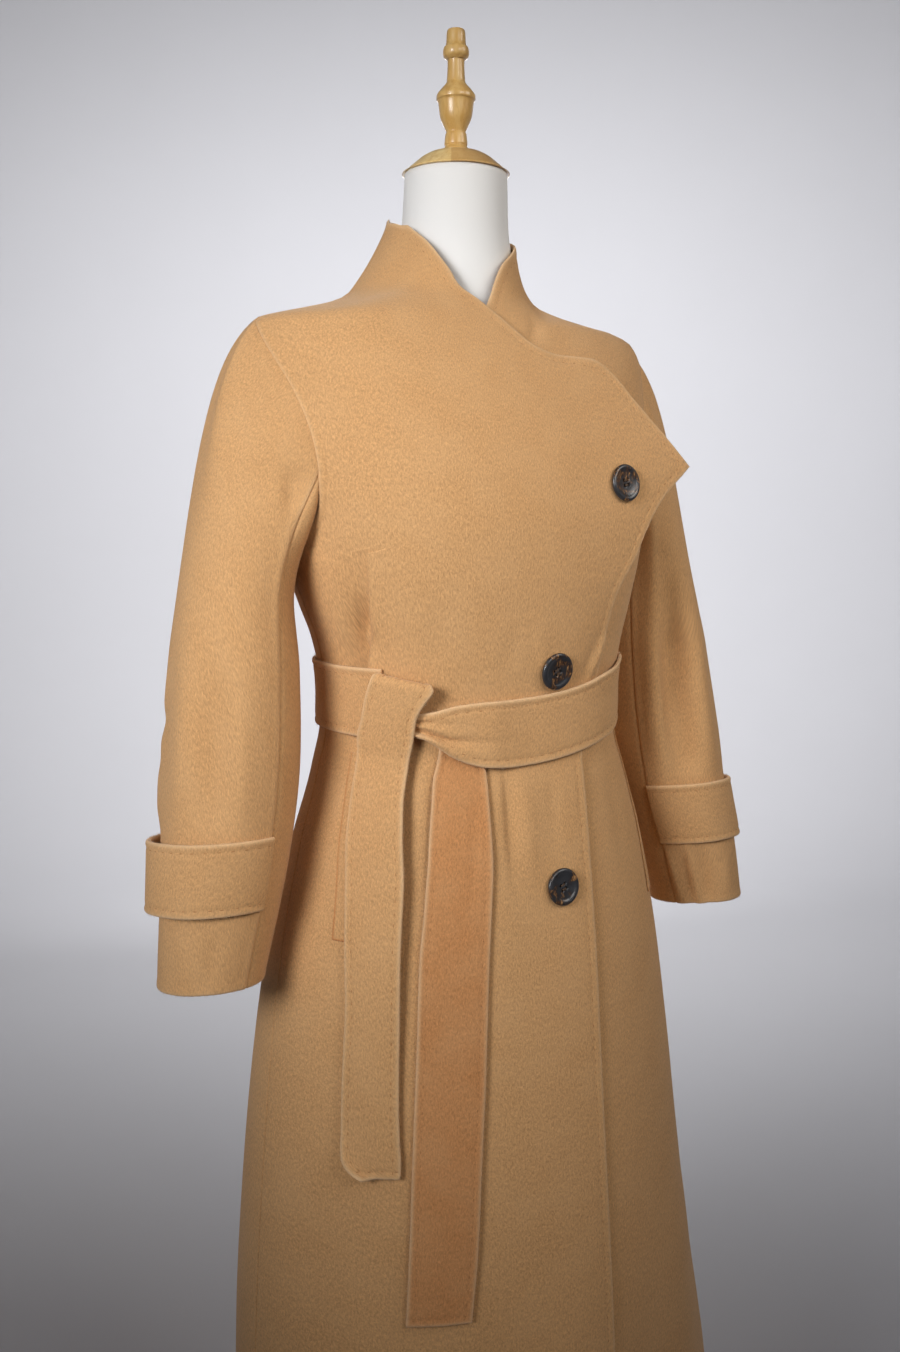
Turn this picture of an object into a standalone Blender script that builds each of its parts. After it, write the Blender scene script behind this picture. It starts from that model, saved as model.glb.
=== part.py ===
"""Wrap coat in doubled napped cloth, worn on a limbless dress form with its own stand.

Metres, +Z up. The coat faces -Y and +X is the wearer's left.
The origin is the middle of the base's underside, on the floor.
"""
import math

import bmesh
import bpy
import numpy as np
from mathutils import Matrix, Vector
from mathutils.bvhtree import BVHTree

for thing in list(bpy.data.objects):
    bpy.data.objects.remove(thing, do_unlink=True)

# Cloth and seams
CLOTH = 0.0024           # wall of the doubled coating cloth
BELT_CLOTH = 0.0034      # belt and straps are two cloths thick
WELT_CLOTH = 0.0020
SEAM = 0.0003            # clear gap between sewn or touching pieces
LAID = 0.0009            # gap under what lies on a curved panel
WRAP = 0.0014            # gap between the two fronts where they wrap
SIDE = 92.0              # degrees from the front to the armhole's middle and the shoulder seam

# Side seam: degrees from the front at each height
SIDE_COLUMNS = ("height", "degrees")
SIDE_SEAM = ((0.200, 82.0), (0.606, 82.0), (0.710, 82.6), (0.802, 85.0), (0.892, 89.8), (0.970, 93.5),
             (1.020, 93.5), (1.100, SIDE), (1.500, SIDE))

# Coat body, from hem to collar: y values are measured from the form's axis
BODY_COLUMNS = ("height", "right", "left", "front", "back", "side_y", "fullness")
BODY = (
    (0.200, 0.2440, 0.2720, -0.226, 0.186, -0.022, 2.00),
    (0.320, 0.2390, 0.2620, -0.218, 0.177, -0.022, 2.00),
    (0.450, 0.2350, 0.2470, -0.208, 0.165, -0.022, 2.00),
    (0.560, 0.2280, 0.2310, -0.197, 0.152, -0.022, 2.00),
    (0.700, 0.2140, 0.2150, -0.180, 0.136, -0.022, 2.00),
    (0.800, 0.1980, 0.1990, -0.168, 0.123, -0.022, 2.05),
    (0.900, 0.1720, 0.1760, -0.153, 0.107, -0.023, 2.10),
    (0.960, 0.1520, 0.1580, -0.143, 0.096, -0.023, 2.15),
    (1.000, 0.1425, 0.1470, -0.1365, 0.0905, -0.023, 2.20),
    (1.040, 0.1425, 0.1460, -0.1365, 0.0905, -0.023, 2.20),
    (1.081, 0.1490, 0.1520, -0.141, 0.095, -0.022, 2.20),
    (1.114, 0.1600, 0.1620, -0.145, 0.100, -0.020, 2.20),
    (1.147, 0.1710, 0.1720, -0.148, 0.104, -0.017, 2.20),
    (1.180, 0.1810, 0.1810, -0.149, 0.108, -0.014, 2.15),
    (1.230, 0.1930, 0.1930, -0.143, 0.111, -0.010, 2.10),
    (1.300, 0.1990, 0.1990, -0.121, 0.107, -0.003, 2.05),
    (1.345, 0.2025, 0.2010, -0.100, 0.096, 0.004, 2.00),
    (1.362, 0.2000, 0.1955, -0.090, 0.090, 0.006, 1.95),
    (1.370, 0.1914, 0.1800, -0.085, 0.087, 0.007, 1.95),
    (1.375, 0.1750, 0.1500, -0.082, 0.085, 0.010, 1.90),
    (1.380, 0.1550, 0.1200, -0.079, 0.084, 0.013, 1.90),
    (1.390, 0.1190, 0.0860, -0.073, 0.082, 0.018, 1.90),
    (1.399, 0.1000, 0.0740, -0.069, 0.082, 0.020, 2.00),
    (1.411, 0.0900, 0.0665, -0.066, 0.081, 0.019, 2.00),
    (1.4325, 0.0765, 0.0600, -0.062, 0.075, 0.015, 2.00),
    (1.464, 0.0620, 0.0560, -0.0585, 0.067, 0.010, 2.00),
    (1.480, 0.0580, 0.0552, -0.0575, 0.064, 0.009, 2.00),
)

# Levels of the fronts: height at the side or armhole, then height and x of each free front edge
LEVEL_COLUMNS = ("side", "right_edge_height", "right_edge_x", "left_edge_height", "left_edge_x")
LEVELS = (
    (0.200, 0.200, 0.0580, 0.200, -0.055),
    (0.320, 0.320, 0.0572, 0.320, -0.055),
    (0.450, 0.450, 0.0567, 0.450, -0.055),
    (0.580, 0.580, 0.0567, 0.580, -0.055),
    (0.700, 0.700, 0.0575, 0.700, -0.056),
    (0.800, 0.800, 0.0583, 0.800, -0.057),
    (0.880, 0.880, 0.0588, 0.880, -0.058),
    (0.940, 0.940, 0.0595, 0.940, -0.059),
    (0.985, 0.985, 0.0602, 0.985, -0.060),
    (1.004, 1.004, 0.0640, 1.004, -0.0605),
    (1.022, 1.022, 0.0690, 1.022, -0.061),
    (1.045, 1.045, 0.0772, 1.045, -0.062),
    (1.070, 1.070, 0.0825, 1.070, -0.0645),
    (1.092, 1.092, 0.0855, 1.092, -0.066),
    (1.130, 1.126, 0.0935, 1.130, -0.070),
    (1.172, 1.160, 0.1155, 1.165, -0.073),
    (1.1836, 1.182, 0.1270, 1.1836, -0.074),
    (1.2074, 1.209, 0.1470, 1.2074, -0.075),
    (1.2339, 1.2426, 0.1890, 1.2339, -0.074),
    (1.2641, 1.270, 0.1613, 1.2641, -0.071),
    (1.295, 1.300, 0.1310, 1.295, -0.064),
    (1.322, 1.3255, 0.1075, 1.320, -0.055),
    (1.3434, 1.3352, 0.0905, 1.340, -0.045),
    (1.3584, 1.3372, 0.0730, 1.353, -0.037),
    (1.3671, 1.3383, 0.0500, 1.362, -0.030),
    (1.370, 1.3425, 0.0310, 1.366, -0.026),
    (1.3745, 1.349, 0.0188, 1.371, -0.021),
    (1.380, 1.357, 0.0104, 1.377, -0.016),
    (1.3855, 1.366, 0.0010, 1.384, -0.010),
    (1.391, 1.3755, -0.0090, 1.391, -0.004),
    (1.398, 1.3855, -0.0198, 1.399, 0.001),
    (1.409, 1.397, -0.0322, 1.410, 0.007),
    (1.425, 1.412, -0.0385, 1.425, 0.0155),
    (1.442, 1.430, -0.0464, 1.440, 0.030),
    (1.455, 1.449, -0.0538, 1.453, 0.045),
    (1.464, 1.464, -0.0591, 1.464, 0.0555),
)

# Where the right front leaves the body as a lapel, and how fast it then bends back
LAPEL_COLUMNS = ("height", "leave_x", "bend_per_metre")
LAPEL = (
    (0.20, 0.300, 0.0),
    (1.03, 0.300, 0.0),
    (1.05, 0.120, 0.0),
    (1.09, 0.055, 4.0),
    (1.14, 0.042, 2.0),
    (1.243, 0.042, 0.6),
    (1.30, 0.042, 0.6),
    (1.36, 0.030, 1.5),
    (1.40, 0.100, 0.0),
    (1.48, 0.300, 0.0),
)

# Large folds of the body: middle angle and height, angle and height spread, depth (minus is a trough)
FOLD_COLUMNS = ("angle", "height", "angle_spread", "height_spread", "depth")
FOLDS = (
    (-58.0, 1.085, 4.0, 0.035, -0.0060),
    (-70.0, 1.080, 7.0, 0.040, 0.0050),
    (-22.0, 0.930, 4.0, 0.050, -0.0050),
    (-12.0, 0.900, 7.0, 0.090, 0.0040),
    (112.0, 1.090, 6.0, 0.035, 0.0050),
    (150.0, 1.090, 6.0, 0.040, -0.0050),
    (205.0, 1.095, 7.0, 0.040, 0.0050),
    (238.0, 0.900, 9.0, 0.080, -0.0050),
    (160.0, 0.890, 9.0, 0.090, 0.0050),
    (-50.0, 0.330, 15.0, 0.160, 0.0080),
    (28.0, 0.300, 14.0, 0.170, -0.0070),
    (75.0, 0.300, 14.0, 0.150, 0.0080),
    (128.0, 0.310, 16.0, 0.160, -0.0090),
    (178.0, 0.300, 16.0, 0.180, 0.0090),
    (226.0, 0.310, 15.0, 0.160, -0.0080),
)

# Armhole, an oval on the body round the side seam, and the sleeve from it
ARMHOLE_MIDDLE = 1.271
ARMHOLE_HALF = 0.099
ARMHOLE_FRONT = 29.5     # degrees from the side to the armhole's front
ARMHOLE_SCOOP = 0.28     # how much further forward it is cut low down than high up
ARMHOLE_BACK = 25.0
ARMHOLE_STEPS = (-90.0, -62.0, -40.0, -22.0, -4.0, 14.0, 31.0, 47.0, 62.0, 76.0, 90.0)
SLEEVE_COLUMNS = ("height", "out", "y", "half_across", "half_fore")
SLEEVE = (
    (0.780, 0.2690, -0.038, 0.0450, 0.0490),
    (0.830, 0.2620, -0.034, 0.0500, 0.0530),
    (0.900, 0.2510, -0.027, 0.0560, 0.0610),
    (0.980, 0.2410, -0.018, 0.0600, 0.0680),
    (1.060, 0.2330, -0.010, 0.0570, 0.0690),
    (1.120, 0.2270, -0.004, 0.0500, 0.0660),
    (1.160, 0.2220, -0.001, 0.0460, 0.0640),
)
# How much further out or in each sleeve hangs: height, then right and left
SWING = ((0.790, -0.0045, 0.0050), (0.860, -0.0070, -0.0010), (0.930, -0.0075, -0.0095),
         (1.060, -0.0055, -0.0115), (1.160, -0.0030, -0.0115))
# Large folds of the sleeves: side, turn round the sleeve, height, spreads and depth (minus is a trough)
SLEEVE_FOLD_COLUMNS = ("side", "turn", "height", "turn_spread", "height_spread", "depth")
SLEEVE_FOLDS = (
    (1.0, -14.0, 1.010, 17.0, 0.120, -0.0070),
    (1.0, -38.0, 1.030, 12.0, 0.140, 0.0030),
    (1.0, 150.0, 0.990, 18.0, 0.060, -0.0060),
    (1.0, 115.0, 0.950, 18.0, 0.070, 0.0040),
    (-1.0, 36.0, 0.990, 17.0, 0.080, -0.0040),
    (-1.0, 145.0, 1.010, 18.0, 0.060, -0.0060),
    (-1.0, 120.0, 0.950, 18.0, 0.070, 0.0040),
)
SLEEVE_TILT = 0.14       # how much the tube's level rings rise to the front
CAP_OUT = (0.55, 0.30)   # how the cap leaves the armhole: sideways and down, each with its change to the top
CAP_DOWN = (0.80, -0.12)
CAP_REACH = 0.60
CAP_DROP = 1.30
SLEEVE_HEM = 0.791
SLEEVE_JOIN = 1.110      # height where the cap has become a tube
# Front and back seams, degrees round each sleeve from its front: the left sleeve hangs turned inwards
SLEEVE_SEAMS = {-1.0: (-22.0, 202.0), 1.0: (-62.0, 166.0)}
# How much further the left sleeve's seams turn to the front higher up: height and degrees
LEFT_TWIST = ((0.790, -3.0), (0.850, 0.0), (0.930, 3.0), (1.050, 6.0), (1.160, 9.0))
SEAM_TURN = 0.24         # half the gap at these seams, in degrees
CAP_STEPS = (0.0, 0.09, 0.2, 0.34, 0.5, 0.66, 0.82, 1.0)

# Sleeve straps
STRAP_TOP = 0.920
STRAP_BOTTOM = 0.858
STRAP_STAND = {-1.0: 0.0085, 1.0: 0.0020}   # how far each strap arches off the sleeve at its outer side
TUBE_STEPS = (1.050, 0.990, 0.948, STRAP_TOP, 0.889, STRAP_BOTTOM, 0.827, SLEEVE_HEM)

# Belt round the waist, from its pinched end in the knot, round by the left side and back to the knot
BELT_COLUMNS = ("angle", "bottom", "top", "stand")
BELT = (
    (-42.0, 1.0110, 1.0270, 0.0062),
    (-38.0, 1.0080, 1.0300, 0.0066),
    (-34.0, 1.0030, 1.0315, 0.0066),
    (-30.0, 0.9960, 1.0340, 0.0062),
    (-26.0, 0.9890, 1.0370, 0.0057),
    (-20.0, 0.9825, 1.0390, 0.0053),
    (-14.0, 0.9790, 1.0400, 0.0050),
    (-7.0, 0.9780, 1.0400, 0.0024),
    (0.0, 0.9790, 1.0410, LAID),
    (20.0, 0.9860, 1.0480, LAID),
    (36.0, 0.9940, 1.0570, LAID),
    (50.0, 0.9990, 1.0620, LAID),
    (70.0, 1.0030, 1.0655, LAID),
    (110.0, 1.0040, 1.0665, LAID),
    (180.0, 1.0020, 1.0645, LAID),
    (250.0, 1.0040, 1.0665, LAID),
    (270.0, 1.0055, 1.0675, LAID),
    (306.0, 1.0055, 1.0675, LAID),
)
BELT_STEPS = 72

# Belt's front end: over the top of the knot and down, its middle face standing off the coat
END_COLUMNS = ("height", "left_angle", "right_angle", "stand", "right_drop")
FRONT_END = (
    (1.0440, -51.5, -35.0, 0.0058, 0.0060),
    (1.0560, -52.0, -33.5, 0.0062, 0.0060),
    (1.0640, -53.5, -32.3, 0.0090, 0.0060),
    (1.0660, -55.0, -31.8, 0.0130, 0.0060),
    (1.0610, -56.2, -33.2, 0.0168, 0.0050),
    (1.0450, -58.8, -36.8, 0.0175, 0.0030),
    (1.0240, -61.2, -39.8, 0.0158, 0.0),
    (1.0080, -63.6, -40.8, 0.0138, 0.0),
    (0.9850, -64.2, -42.6, 0.0114, 0.0),
    (0.9600, -64.2, -43.0, 0.0098, 0.0),
    (0.9300, -63.0, -41.8, 0.0085, 0.0),
    (0.8800, -59.3, -39.4, 0.0072, 0.0),
    (0.8300, -56.2, -38.8, 0.0066, 0.0),
    (0.7660, -53.4, -38.1, 0.0062, 0.0),
    (0.7000, -52.8, -37.8, 0.0060, 0.0),
    (0.6650, -52.3, -37.4, 0.0060, 0.0),
    (0.6500, -51.6, -37.1, 0.0062, 0.0),
    (0.6400, -49.4, -37.1, 0.0064, 0.0),
    (0.6345, -46.5, -37.3, 0.0066, 0.0),
)

# Belt's rear end: out from under the belt and down
REAR_END = (
    (1.0060, -31.5, -17.0, 0.0024, 0.0),
    (0.9850, -32.8, -15.6, 0.0024, 0.0),
    (0.9680, -34.0, -15.0, 0.0026, 0.0),
    (0.9400, -33.9, -14.4, 0.0032, 0.0),
    (0.9000, -33.3, -13.8, 0.0036, 0.0),
    (0.8600, -33.4, -14.4, 0.0036, 0.0),
    (0.8200, -33.8, -15.2, 0.0036, 0.0),
    (0.7640, -33.8, -16.2, 0.0034, 0.0),
    (0.7060, -34.1, -17.2, 0.0034, 0.0),
    (0.6400, -34.6, -18.5, 0.0034, 0.0),
    (0.5720, -35.2, -19.7, 0.0034, 0.0),
    (0.5070, -36.0, -21.5, 0.0034, 0.0),
)

# Knot, the bunched cloth inside the front end's turn
KNOT_ANGLE = -47.0
KNOT_HALF_ANGLE = 4.75
KNOT_HEIGHT = 1.0215
KNOT_HALF_HEIGHT = 0.0170
KNOT_STAND = 0.0072
KNOT_HALF_DEPTH = 0.0056

# Buttons: name, height, x on the right front, and turn of the holes
BUTTON_RADIUS = 0.0168
BUTTON_HOLE = 0.0013
BUTTON_SPREAD = 0.0030
BUTTON_PROFILE = ((0.0, 0.0), (0.0140, 0.0), (0.0163, 0.0010), (0.0168, 0.0028), (0.0158, 0.0046),
                  (0.0138, 0.0049), (0.0112, 0.0040), (0.0060, 0.0033), (0.0, 0.0031))
BUTTONS = (("button_top", 1.2262, 0.0985, 10.0), ("button_middle", 1.0620, 0.0245, 35.0),
           ("button_lower", 0.8706, 0.0220, 20.0))

# Pocket welts: open edge and sewn edge, degrees from the front
WELT_COLUMNS = ("height", "open_angle", "sewn_angle")
WELT = ((0.831, 61.5, 54.0), (0.866, 63.2, 55.6), (0.922, 67.5, 59.2), (0.965, 70.4, 61.8),
        (0.990, 71.2, 62.4))

# Dress form
FORM_COLUMNS = ("height", "half_width", "front", "back", "side_y", "fullness")
FORM = (
    (0.735, 0.1500, -0.115, 0.085, -0.020, 2.1),
    (0.800, 0.1600, -0.125, 0.094, -0.020, 2.1),
    (0.860, 0.1560, -0.124, 0.094, -0.020, 2.1),
    (0.930, 0.1370, -0.113, 0.084, -0.020, 2.1),
    (1.020, 0.1180, -0.104, 0.070, -0.020, 2.1),
    (1.080, 0.1250, -0.112, 0.077, -0.018, 2.1),
    (1.150, 0.1420, -0.129, 0.089, -0.014, 2.1),
    (1.200, 0.1520, -0.134, 0.095, -0.010, 2.1),
    (1.260, 0.1600, -0.123, 0.097, -0.005, 2.1),
    (1.310, 0.1650, -0.104, 0.093, 0.000, 2.0),
    (1.345, 0.1620, -0.084, 0.086, 0.005, 2.0),
    (1.362, 0.1510, -0.074, 0.080, 0.008, 1.9),
    (1.370, 0.1330, -0.069, 0.078, 0.010, 1.9),
    (1.376, 0.1120, -0.066, 0.077, 0.012, 1.9),
    (1.382, 0.0930, -0.063, 0.075, 0.014, 1.9),
    (1.390, 0.0775, -0.060, 0.074, 0.013, 1.9),
    (1.397, 0.0700, -0.058, 0.072, 0.010, 2.0),
    (1.405, 0.0640, -0.057, 0.069, 0.006, 2.0),
    (1.418, 0.0588, -0.0550, 0.0630, 0.004, 2.0),
    (1.435, 0.0540, -0.0510, 0.0585, 0.0035, 2.0),
    (1.460, 0.0498, -0.0482, 0.0530, 0.0020, 2.0),
    (1.5090, 0.0474, -0.0474, 0.0474, 0.000, 2.0),
)
FORM_SIDES = 28

# Turned pieces: radius and height down the axis
NECK_CAP = ((0.0, 1.5093), (0.0462, 1.5093), (0.0470, 1.5106), (0.0456, 1.5126), (0.0397, 1.5176),
            (0.0313, 1.5242), (0.0206, 1.5286), (0.0, 1.5303))
FINIAL = ((0.0, 1.5306), (0.0125, 1.5306), (0.0110, 1.5332), (0.0102, 1.5350), (0.0107, 1.5368),
          (0.0098, 1.5452), (0.0090, 1.5470), (0.0110, 1.5520), (0.0145, 1.5602), (0.0164, 1.5730),
          (0.0178, 1.5752), (0.0180, 1.5772), (0.0174, 1.5800), (0.0134, 1.5850), (0.0096, 1.5893),
          (0.0084, 1.5930), (0.0077, 1.6085), (0.0088, 1.6104), (0.0114, 1.6131), (0.0120, 1.6168),
          (0.0112, 1.6206), (0.0092, 1.6236), (0.0084, 1.6341), (0.0064, 1.6365), (0.0, 1.6372))
POLE_RADIUS = 0.0140
BASE = ((0.0, 0.0), (0.1680, 0.0), (0.1700, 0.0030), (0.1700, 0.0190), (0.1660, 0.0240), (0.1200, 0.0290),
        (0.0500, 0.0340), (0.0330, 0.0400), (0.0300, 0.0600), (0.0, 0.0600))
TURN_STEPS = 28

CAMEL = (0.560, 0.318, 0.135, 1.0)
HORN = (0.030, 0.021, 0.015, 1.0)
JERSEY = (0.800, 0.790, 0.770, 1.0)
BEECH = (0.600, 0.360, 0.110, 1.0)


def table(rows):
    """The rows as an array."""
    return np.array(rows, float)


def through(at, xs, ys):
    """A smooth curve through the rows that never overshoots them."""
    xs = np.asarray(xs, float)
    ys = np.asarray(ys, float)
    at = np.asarray(at, float)
    step = np.diff(xs)
    rise = np.diff(ys) / step
    slope = np.zeros_like(ys)
    one = 2 * step[1:] + step[:-1]
    two = step[1:] + 2 * step[:-1]
    same = rise[:-1] * rise[1:] > 0
    safe = np.where(same, rise[:-1], 1.0)
    safe_next = np.where(same, rise[1:], 1.0)
    slope[1:-1] = np.where(same, (one + two) / (one / safe + two / safe_next), 0.0)
    slope[0] = rise[0]
    slope[-1] = rise[-1]
    k = np.clip(np.searchsorted(xs, at) - 1, 0, len(xs) - 2)
    t = (at - xs[k]) / step[k]
    near = ys[k] * (1 + 2 * t) + step[k] * slope[k] * t
    far = ys[k + 1] * (3 - 2 * t) - step[k] * slope[k + 1] * (1 - t)
    return near * (1 - t) ** 2 + far * t ** 2


def ease(t):
    """Soft step from 0 to 1."""
    t = np.clip(t, 0.0, 1.0)
    return t * t * (3 - 2 * t)


def unit(v):
    """Vectors made one long."""
    return v / np.linalg.norm(v, axis=-1, keepdims=True)


def waist_dip(angle, height):
    """How far the waist sits lower at the front than at the back, fading away from the belt."""
    near = np.exp(-((height - 1.02) / 0.075) ** 2)
    return near * (0.010 * np.cos(angle) + 0.004 * np.sin(angle))


def fold_depth(angle, height):
    """Soft troughs and ridges of the cloth."""
    total = np.zeros(np.broadcast(angle, height).shape)
    for middle, level, wide, tall, depth in FOLDS:
        turn = (np.degrees(angle) - middle + 180.0) % 360.0 - 180.0
        total += depth * np.exp(-(turn / wide) ** 2 - ((height - level) / tall) ** 2)
    quiet = ease((np.abs(height - 1.025) - 0.043) / 0.03)
    return total * quiet


def oval(rows, angle, height):
    """Point of a section table: angle 0 is the front, plus turns to the wearer's left."""
    right, left, front, back, side, full = [through(height, rows[:, 0], rows[:, k]) for k in range(1, 7)]
    c = np.cos(angle)
    s = np.sin(angle)
    x = np.where(s > 0, left, right) * np.sign(s) * np.abs(s) ** (2.0 / full)
    y = side + np.where(c > 0, front - side, side - back) * np.sign(c) * np.abs(c) ** (2.0 / full)
    return x, y


def body(angle, height, bridge=False):
    """Outer face of the coat's single cloth. What lies on it bridges the troughs."""
    angle, height = np.broadcast_arrays(np.asarray(angle, float), np.asarray(height, float))
    x, y = oval(table(BODY), angle, height + waist_dip(angle, height))
    depth = fold_depth(angle, height)
    grow = 1.0 + (np.maximum(depth, 0.0) if bridge else depth) / 0.17
    side = -0.022
    return np.stack([x * grow, side + (y - side) * grow, height], -1)


def body_normal(angle, height):
    """Outward direction of the coat's cloth."""
    across = body(angle + 2e-3, height) - body(angle - 2e-3, height)
    up = body(angle, height + 2e-4) - body(angle, height - 2e-4)
    return unit(np.cross(across, up))


def overlap(angle):
    """Height of the right front above the single cloth: it climbs over the left front."""
    return (CLOTH + WRAP) * ease((np.degrees(angle) + 60.0) / 25.0)


def dressed(angle, height, stand):
    """Point standing off the closed coat, which steps down past the right front's edge."""
    turn = (np.degrees(angle) + 180.0) % 360.0 - 180.0
    over = overlap(np.radians(turn)) * (1.0 - ease((turn - 36.0) / 20.0))
    return body(angle, height, True) + (over + stand)[..., None] * body_normal(angle, height)


def armhole_angle(height, front):
    """Degrees from the front to the armhole's edge, or to the seam above and below it."""
    rise = np.clip((height - ARMHOLE_MIDDLE) / (ARMHOLE_HALF + 0.0004), -1.0, 1.0)
    open_by = np.sqrt(1.0 - rise ** 2)
    seam = np.interp(height, table(SIDE_SEAM)[:, 0], table(SIDE_SEAM)[:, 1])
    if front:
        return seam - (ARMHOLE_FRONT + 0.25) * open_by * (1.0 - ARMHOLE_SCOOP * rise)
    return seam + (ARMHOLE_BACK + 0.25) * open_by


def resample(path, count, trim_start, trim_end):
    """The path's points spread evenly by length, with its ends cut back."""
    run = np.concatenate([[0.0], np.cumsum(np.linalg.norm(np.diff(path, axis=0), axis=1))])
    want = np.linspace(trim_start, run[-1] - trim_end, count)
    return np.stack([np.interp(want, run, path[:, k]) for k in range(3)], -1)


def level_row(level, columns):
    """One fractional row of the level table."""
    rows = table(LEVELS)
    k = np.arange(len(rows))
    return [np.interp(level, k, rows[:, c]) for c in columns]


def right_front_row(level, count):
    """One level of the right front: round the body from the side, then off it as the lapel."""
    side, edge_height, edge_x = level_row(level, (0, 1, 2))
    start = -float(armhole_angle(side, True))
    finish = 70.0
    angle = np.radians(np.linspace(start, finish, 420))
    half = float(through(edge_height, table(BODY)[:, 0], table(BODY)[:, 1]))
    stop = math.degrees(math.asin(max(-0.999, min(0.42, edge_x / half))))
    height = side + (edge_height - side) * ease((np.degrees(angle) - start) / (stop - start))
    path = body(angle, height) + overlap(angle)[:, None] * body_normal(angle, height)
    leave = np.interp(edge_height, table(LAPEL)[:, 0], table(LAPEL)[:, 1])
    bend = np.interp(edge_height, table(LAPEL)[:, 0], table(LAPEL)[:, 2]) + 1e-6
    forward = angle > math.radians(-88.0)
    stop_x = min(edge_x, leave)
    k = int(np.argmax(forward & (path[:, 0] >= stop_x)))
    part = (stop_x - path[k - 1, 0]) / (path[k, 0] - path[k - 1, 0])
    last = path[k - 1] + part * (path[k] - path[k - 1])
    path = np.vstack([path[:k], last])
    if edge_x > leave:
        along = unit((path[-1] - path[-3]) * (1.0, 1.0, 0.0))
        inward = np.array([-along[1], along[0], 0.0])
        run = np.linspace(0.0, 0.3, 600)[1:, None]
        tail = path[-1] + np.sin(bend * run) / bend * along + (1 - np.cos(bend * run)) / bend * inward
        k = int(np.argmax(tail[:, 0] >= edge_x))
        path = np.vstack([path, tail[:k + 1]])
    return resample(path, count, SEAM / 2, 0.0)


def left_front_row(level, count):
    """One level of the left front, from its free edge under the right front round to the side."""
    side, edge_height, edge_x = level_row(level, (0, 3, 4))
    finish = float(armhole_angle(side, True))
    rows = table(BODY)
    half = float(through(edge_height, rows[:, 0], rows[:, 1 if edge_x < 0 else 2]))
    start = math.degrees(math.asin(max(-0.98, min(0.995, edge_x / half))))
    angle = np.radians(np.linspace(start, finish, 300))
    height = side + (edge_height - side) * ease((finish - np.degrees(angle)) / (finish - start))
    return resample(body(angle, height), count, 0.0, SEAM / 2)


def back_row(level, count, first, last):
    """One level of the back between two seams: 1 the left side, 0 the middle of the back, -1 the right."""
    side = level_row(level, (0,))[0]
    spread = 180.0 - float(armhole_angle(side, False))
    angle = np.radians(np.linspace(180.0 - first * spread, 180.0 - last * spread, 300))
    return resample(body(angle, np.full(300, side)), count, SEAM / 2, SEAM / 2)


def left_back_row(level, count):
    """One level of the back's left half."""
    return back_row(level, count, 1.0, 0.0)


def right_back_row(level, count):
    """One level of the back's right half."""
    return back_row(level, count, 0.0, -1.0)


def panel_faces(row, columns, thick):
    """Outer and inner grids of a body panel at the table's levels."""
    fine = 6
    levels = np.arange((len(LEVELS) - 1) * fine + 1) / fine
    grid = np.stack([row(level, (columns - 1) * fine + 1) for level in levels])
    across = np.gradient(grid, axis=1, edge_order=2)
    up = np.gradient(grid, axis=0, edge_order=2)
    out = unit(np.cross(across, up))
    grid = grid[::fine, ::fine]
    return grid, grid - thick * out[::fine, ::fine]


def solid_from(name, points, faces, material, smooth=True):
    """A closed body from points and faces, facing outwards."""
    work = bmesh.new()
    corners = [work.verts.new(Vector(p)) for p in points]
    for face in faces:
        work.faces.new([corners[k] for k in face])
    bmesh.ops.recalc_face_normals(work, faces=work.faces)
    mesh = bpy.data.meshes.new(name)
    work.to_mesh(mesh)
    work.free()
    thing = bpy.data.objects.new(name, mesh)
    bpy.context.scene.collection.objects.link(thing)
    mesh.materials.append(material)
    for polygon in mesh.polygons:
        polygon.use_smooth = smooth
    return thing


def wall(name, outer, inner, material):
    """Cloth wall between two matching grids, closed round its edges."""
    rows, columns = outer.shape[:2]
    points = np.vstack([outer.reshape(-1, 3), inner.reshape(-1, 3)])
    shift = rows * columns
    faces = []
    for r in range(rows - 1):
        for c in range(columns - 1):
            a = r * columns + c
            quad = (a, a + 1, a + columns + 1, a + columns)
            faces.append(quad)
            faces.append(tuple(shift + k for k in reversed(quad)))
    bottom = [c for c in range(columns)]
    top = [(rows - 1) * columns + c for c in range(columns)]
    first = [r * columns for r in range(rows)]
    last = [r * columns + columns - 1 for r in range(rows)]
    for edge, turn in ((bottom, False), (top, True), (first, True), (last, False)):
        for a, b in zip(edge[:-1], edge[1:]):
            quad = (a, a + shift, b + shift, b)
            faces.append(tuple(reversed(quad)) if turn else quad)
    return solid_from(name, points, faces, material)


def turned(name, profile, material, steps=TURN_STEPS):
    """A piece turned round the upright axis by spinning its profile."""
    work = bmesh.new()
    corners = [work.verts.new((r, 0.0, z)) for r, z in profile]
    edges = [work.edges.new(pair) for pair in zip(corners[:-1], corners[1:])]
    bmesh.ops.spin(work, geom=corners + edges, axis=(0, 0, 1), cent=(0, 0, 0), angle=math.tau, steps=steps,
                   use_merge=True)
    bmesh.ops.remove_doubles(work, verts=work.verts, dist=1e-6)
    bmesh.ops.dissolve_degenerate(work, edges=work.edges, dist=1e-7)
    bmesh.ops.recalc_face_normals(work, faces=work.faces)
    mesh = bpy.data.meshes.new(name)
    work.to_mesh(mesh)
    work.free()
    thing = bpy.data.objects.new(name, mesh)
    bpy.context.scene.collection.objects.link(thing)
    mesh.materials.append(material)
    for polygon in mesh.polygons:
        polygon.use_smooth = len(polygon.vertices) == 4
    return thing


def finish(name, colour, roughness):
    """Plain material of a slot."""
    material = bpy.data.materials.new(name)
    material.use_nodes = True
    shader = material.node_tree.nodes["Principled BSDF"]
    shader.inputs["Base Color"].default_value = colour
    shader.inputs["Roughness"].default_value = roughness
    shader.inputs["Metallic"].default_value = 0.0
    return material


# Sleeves

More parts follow.
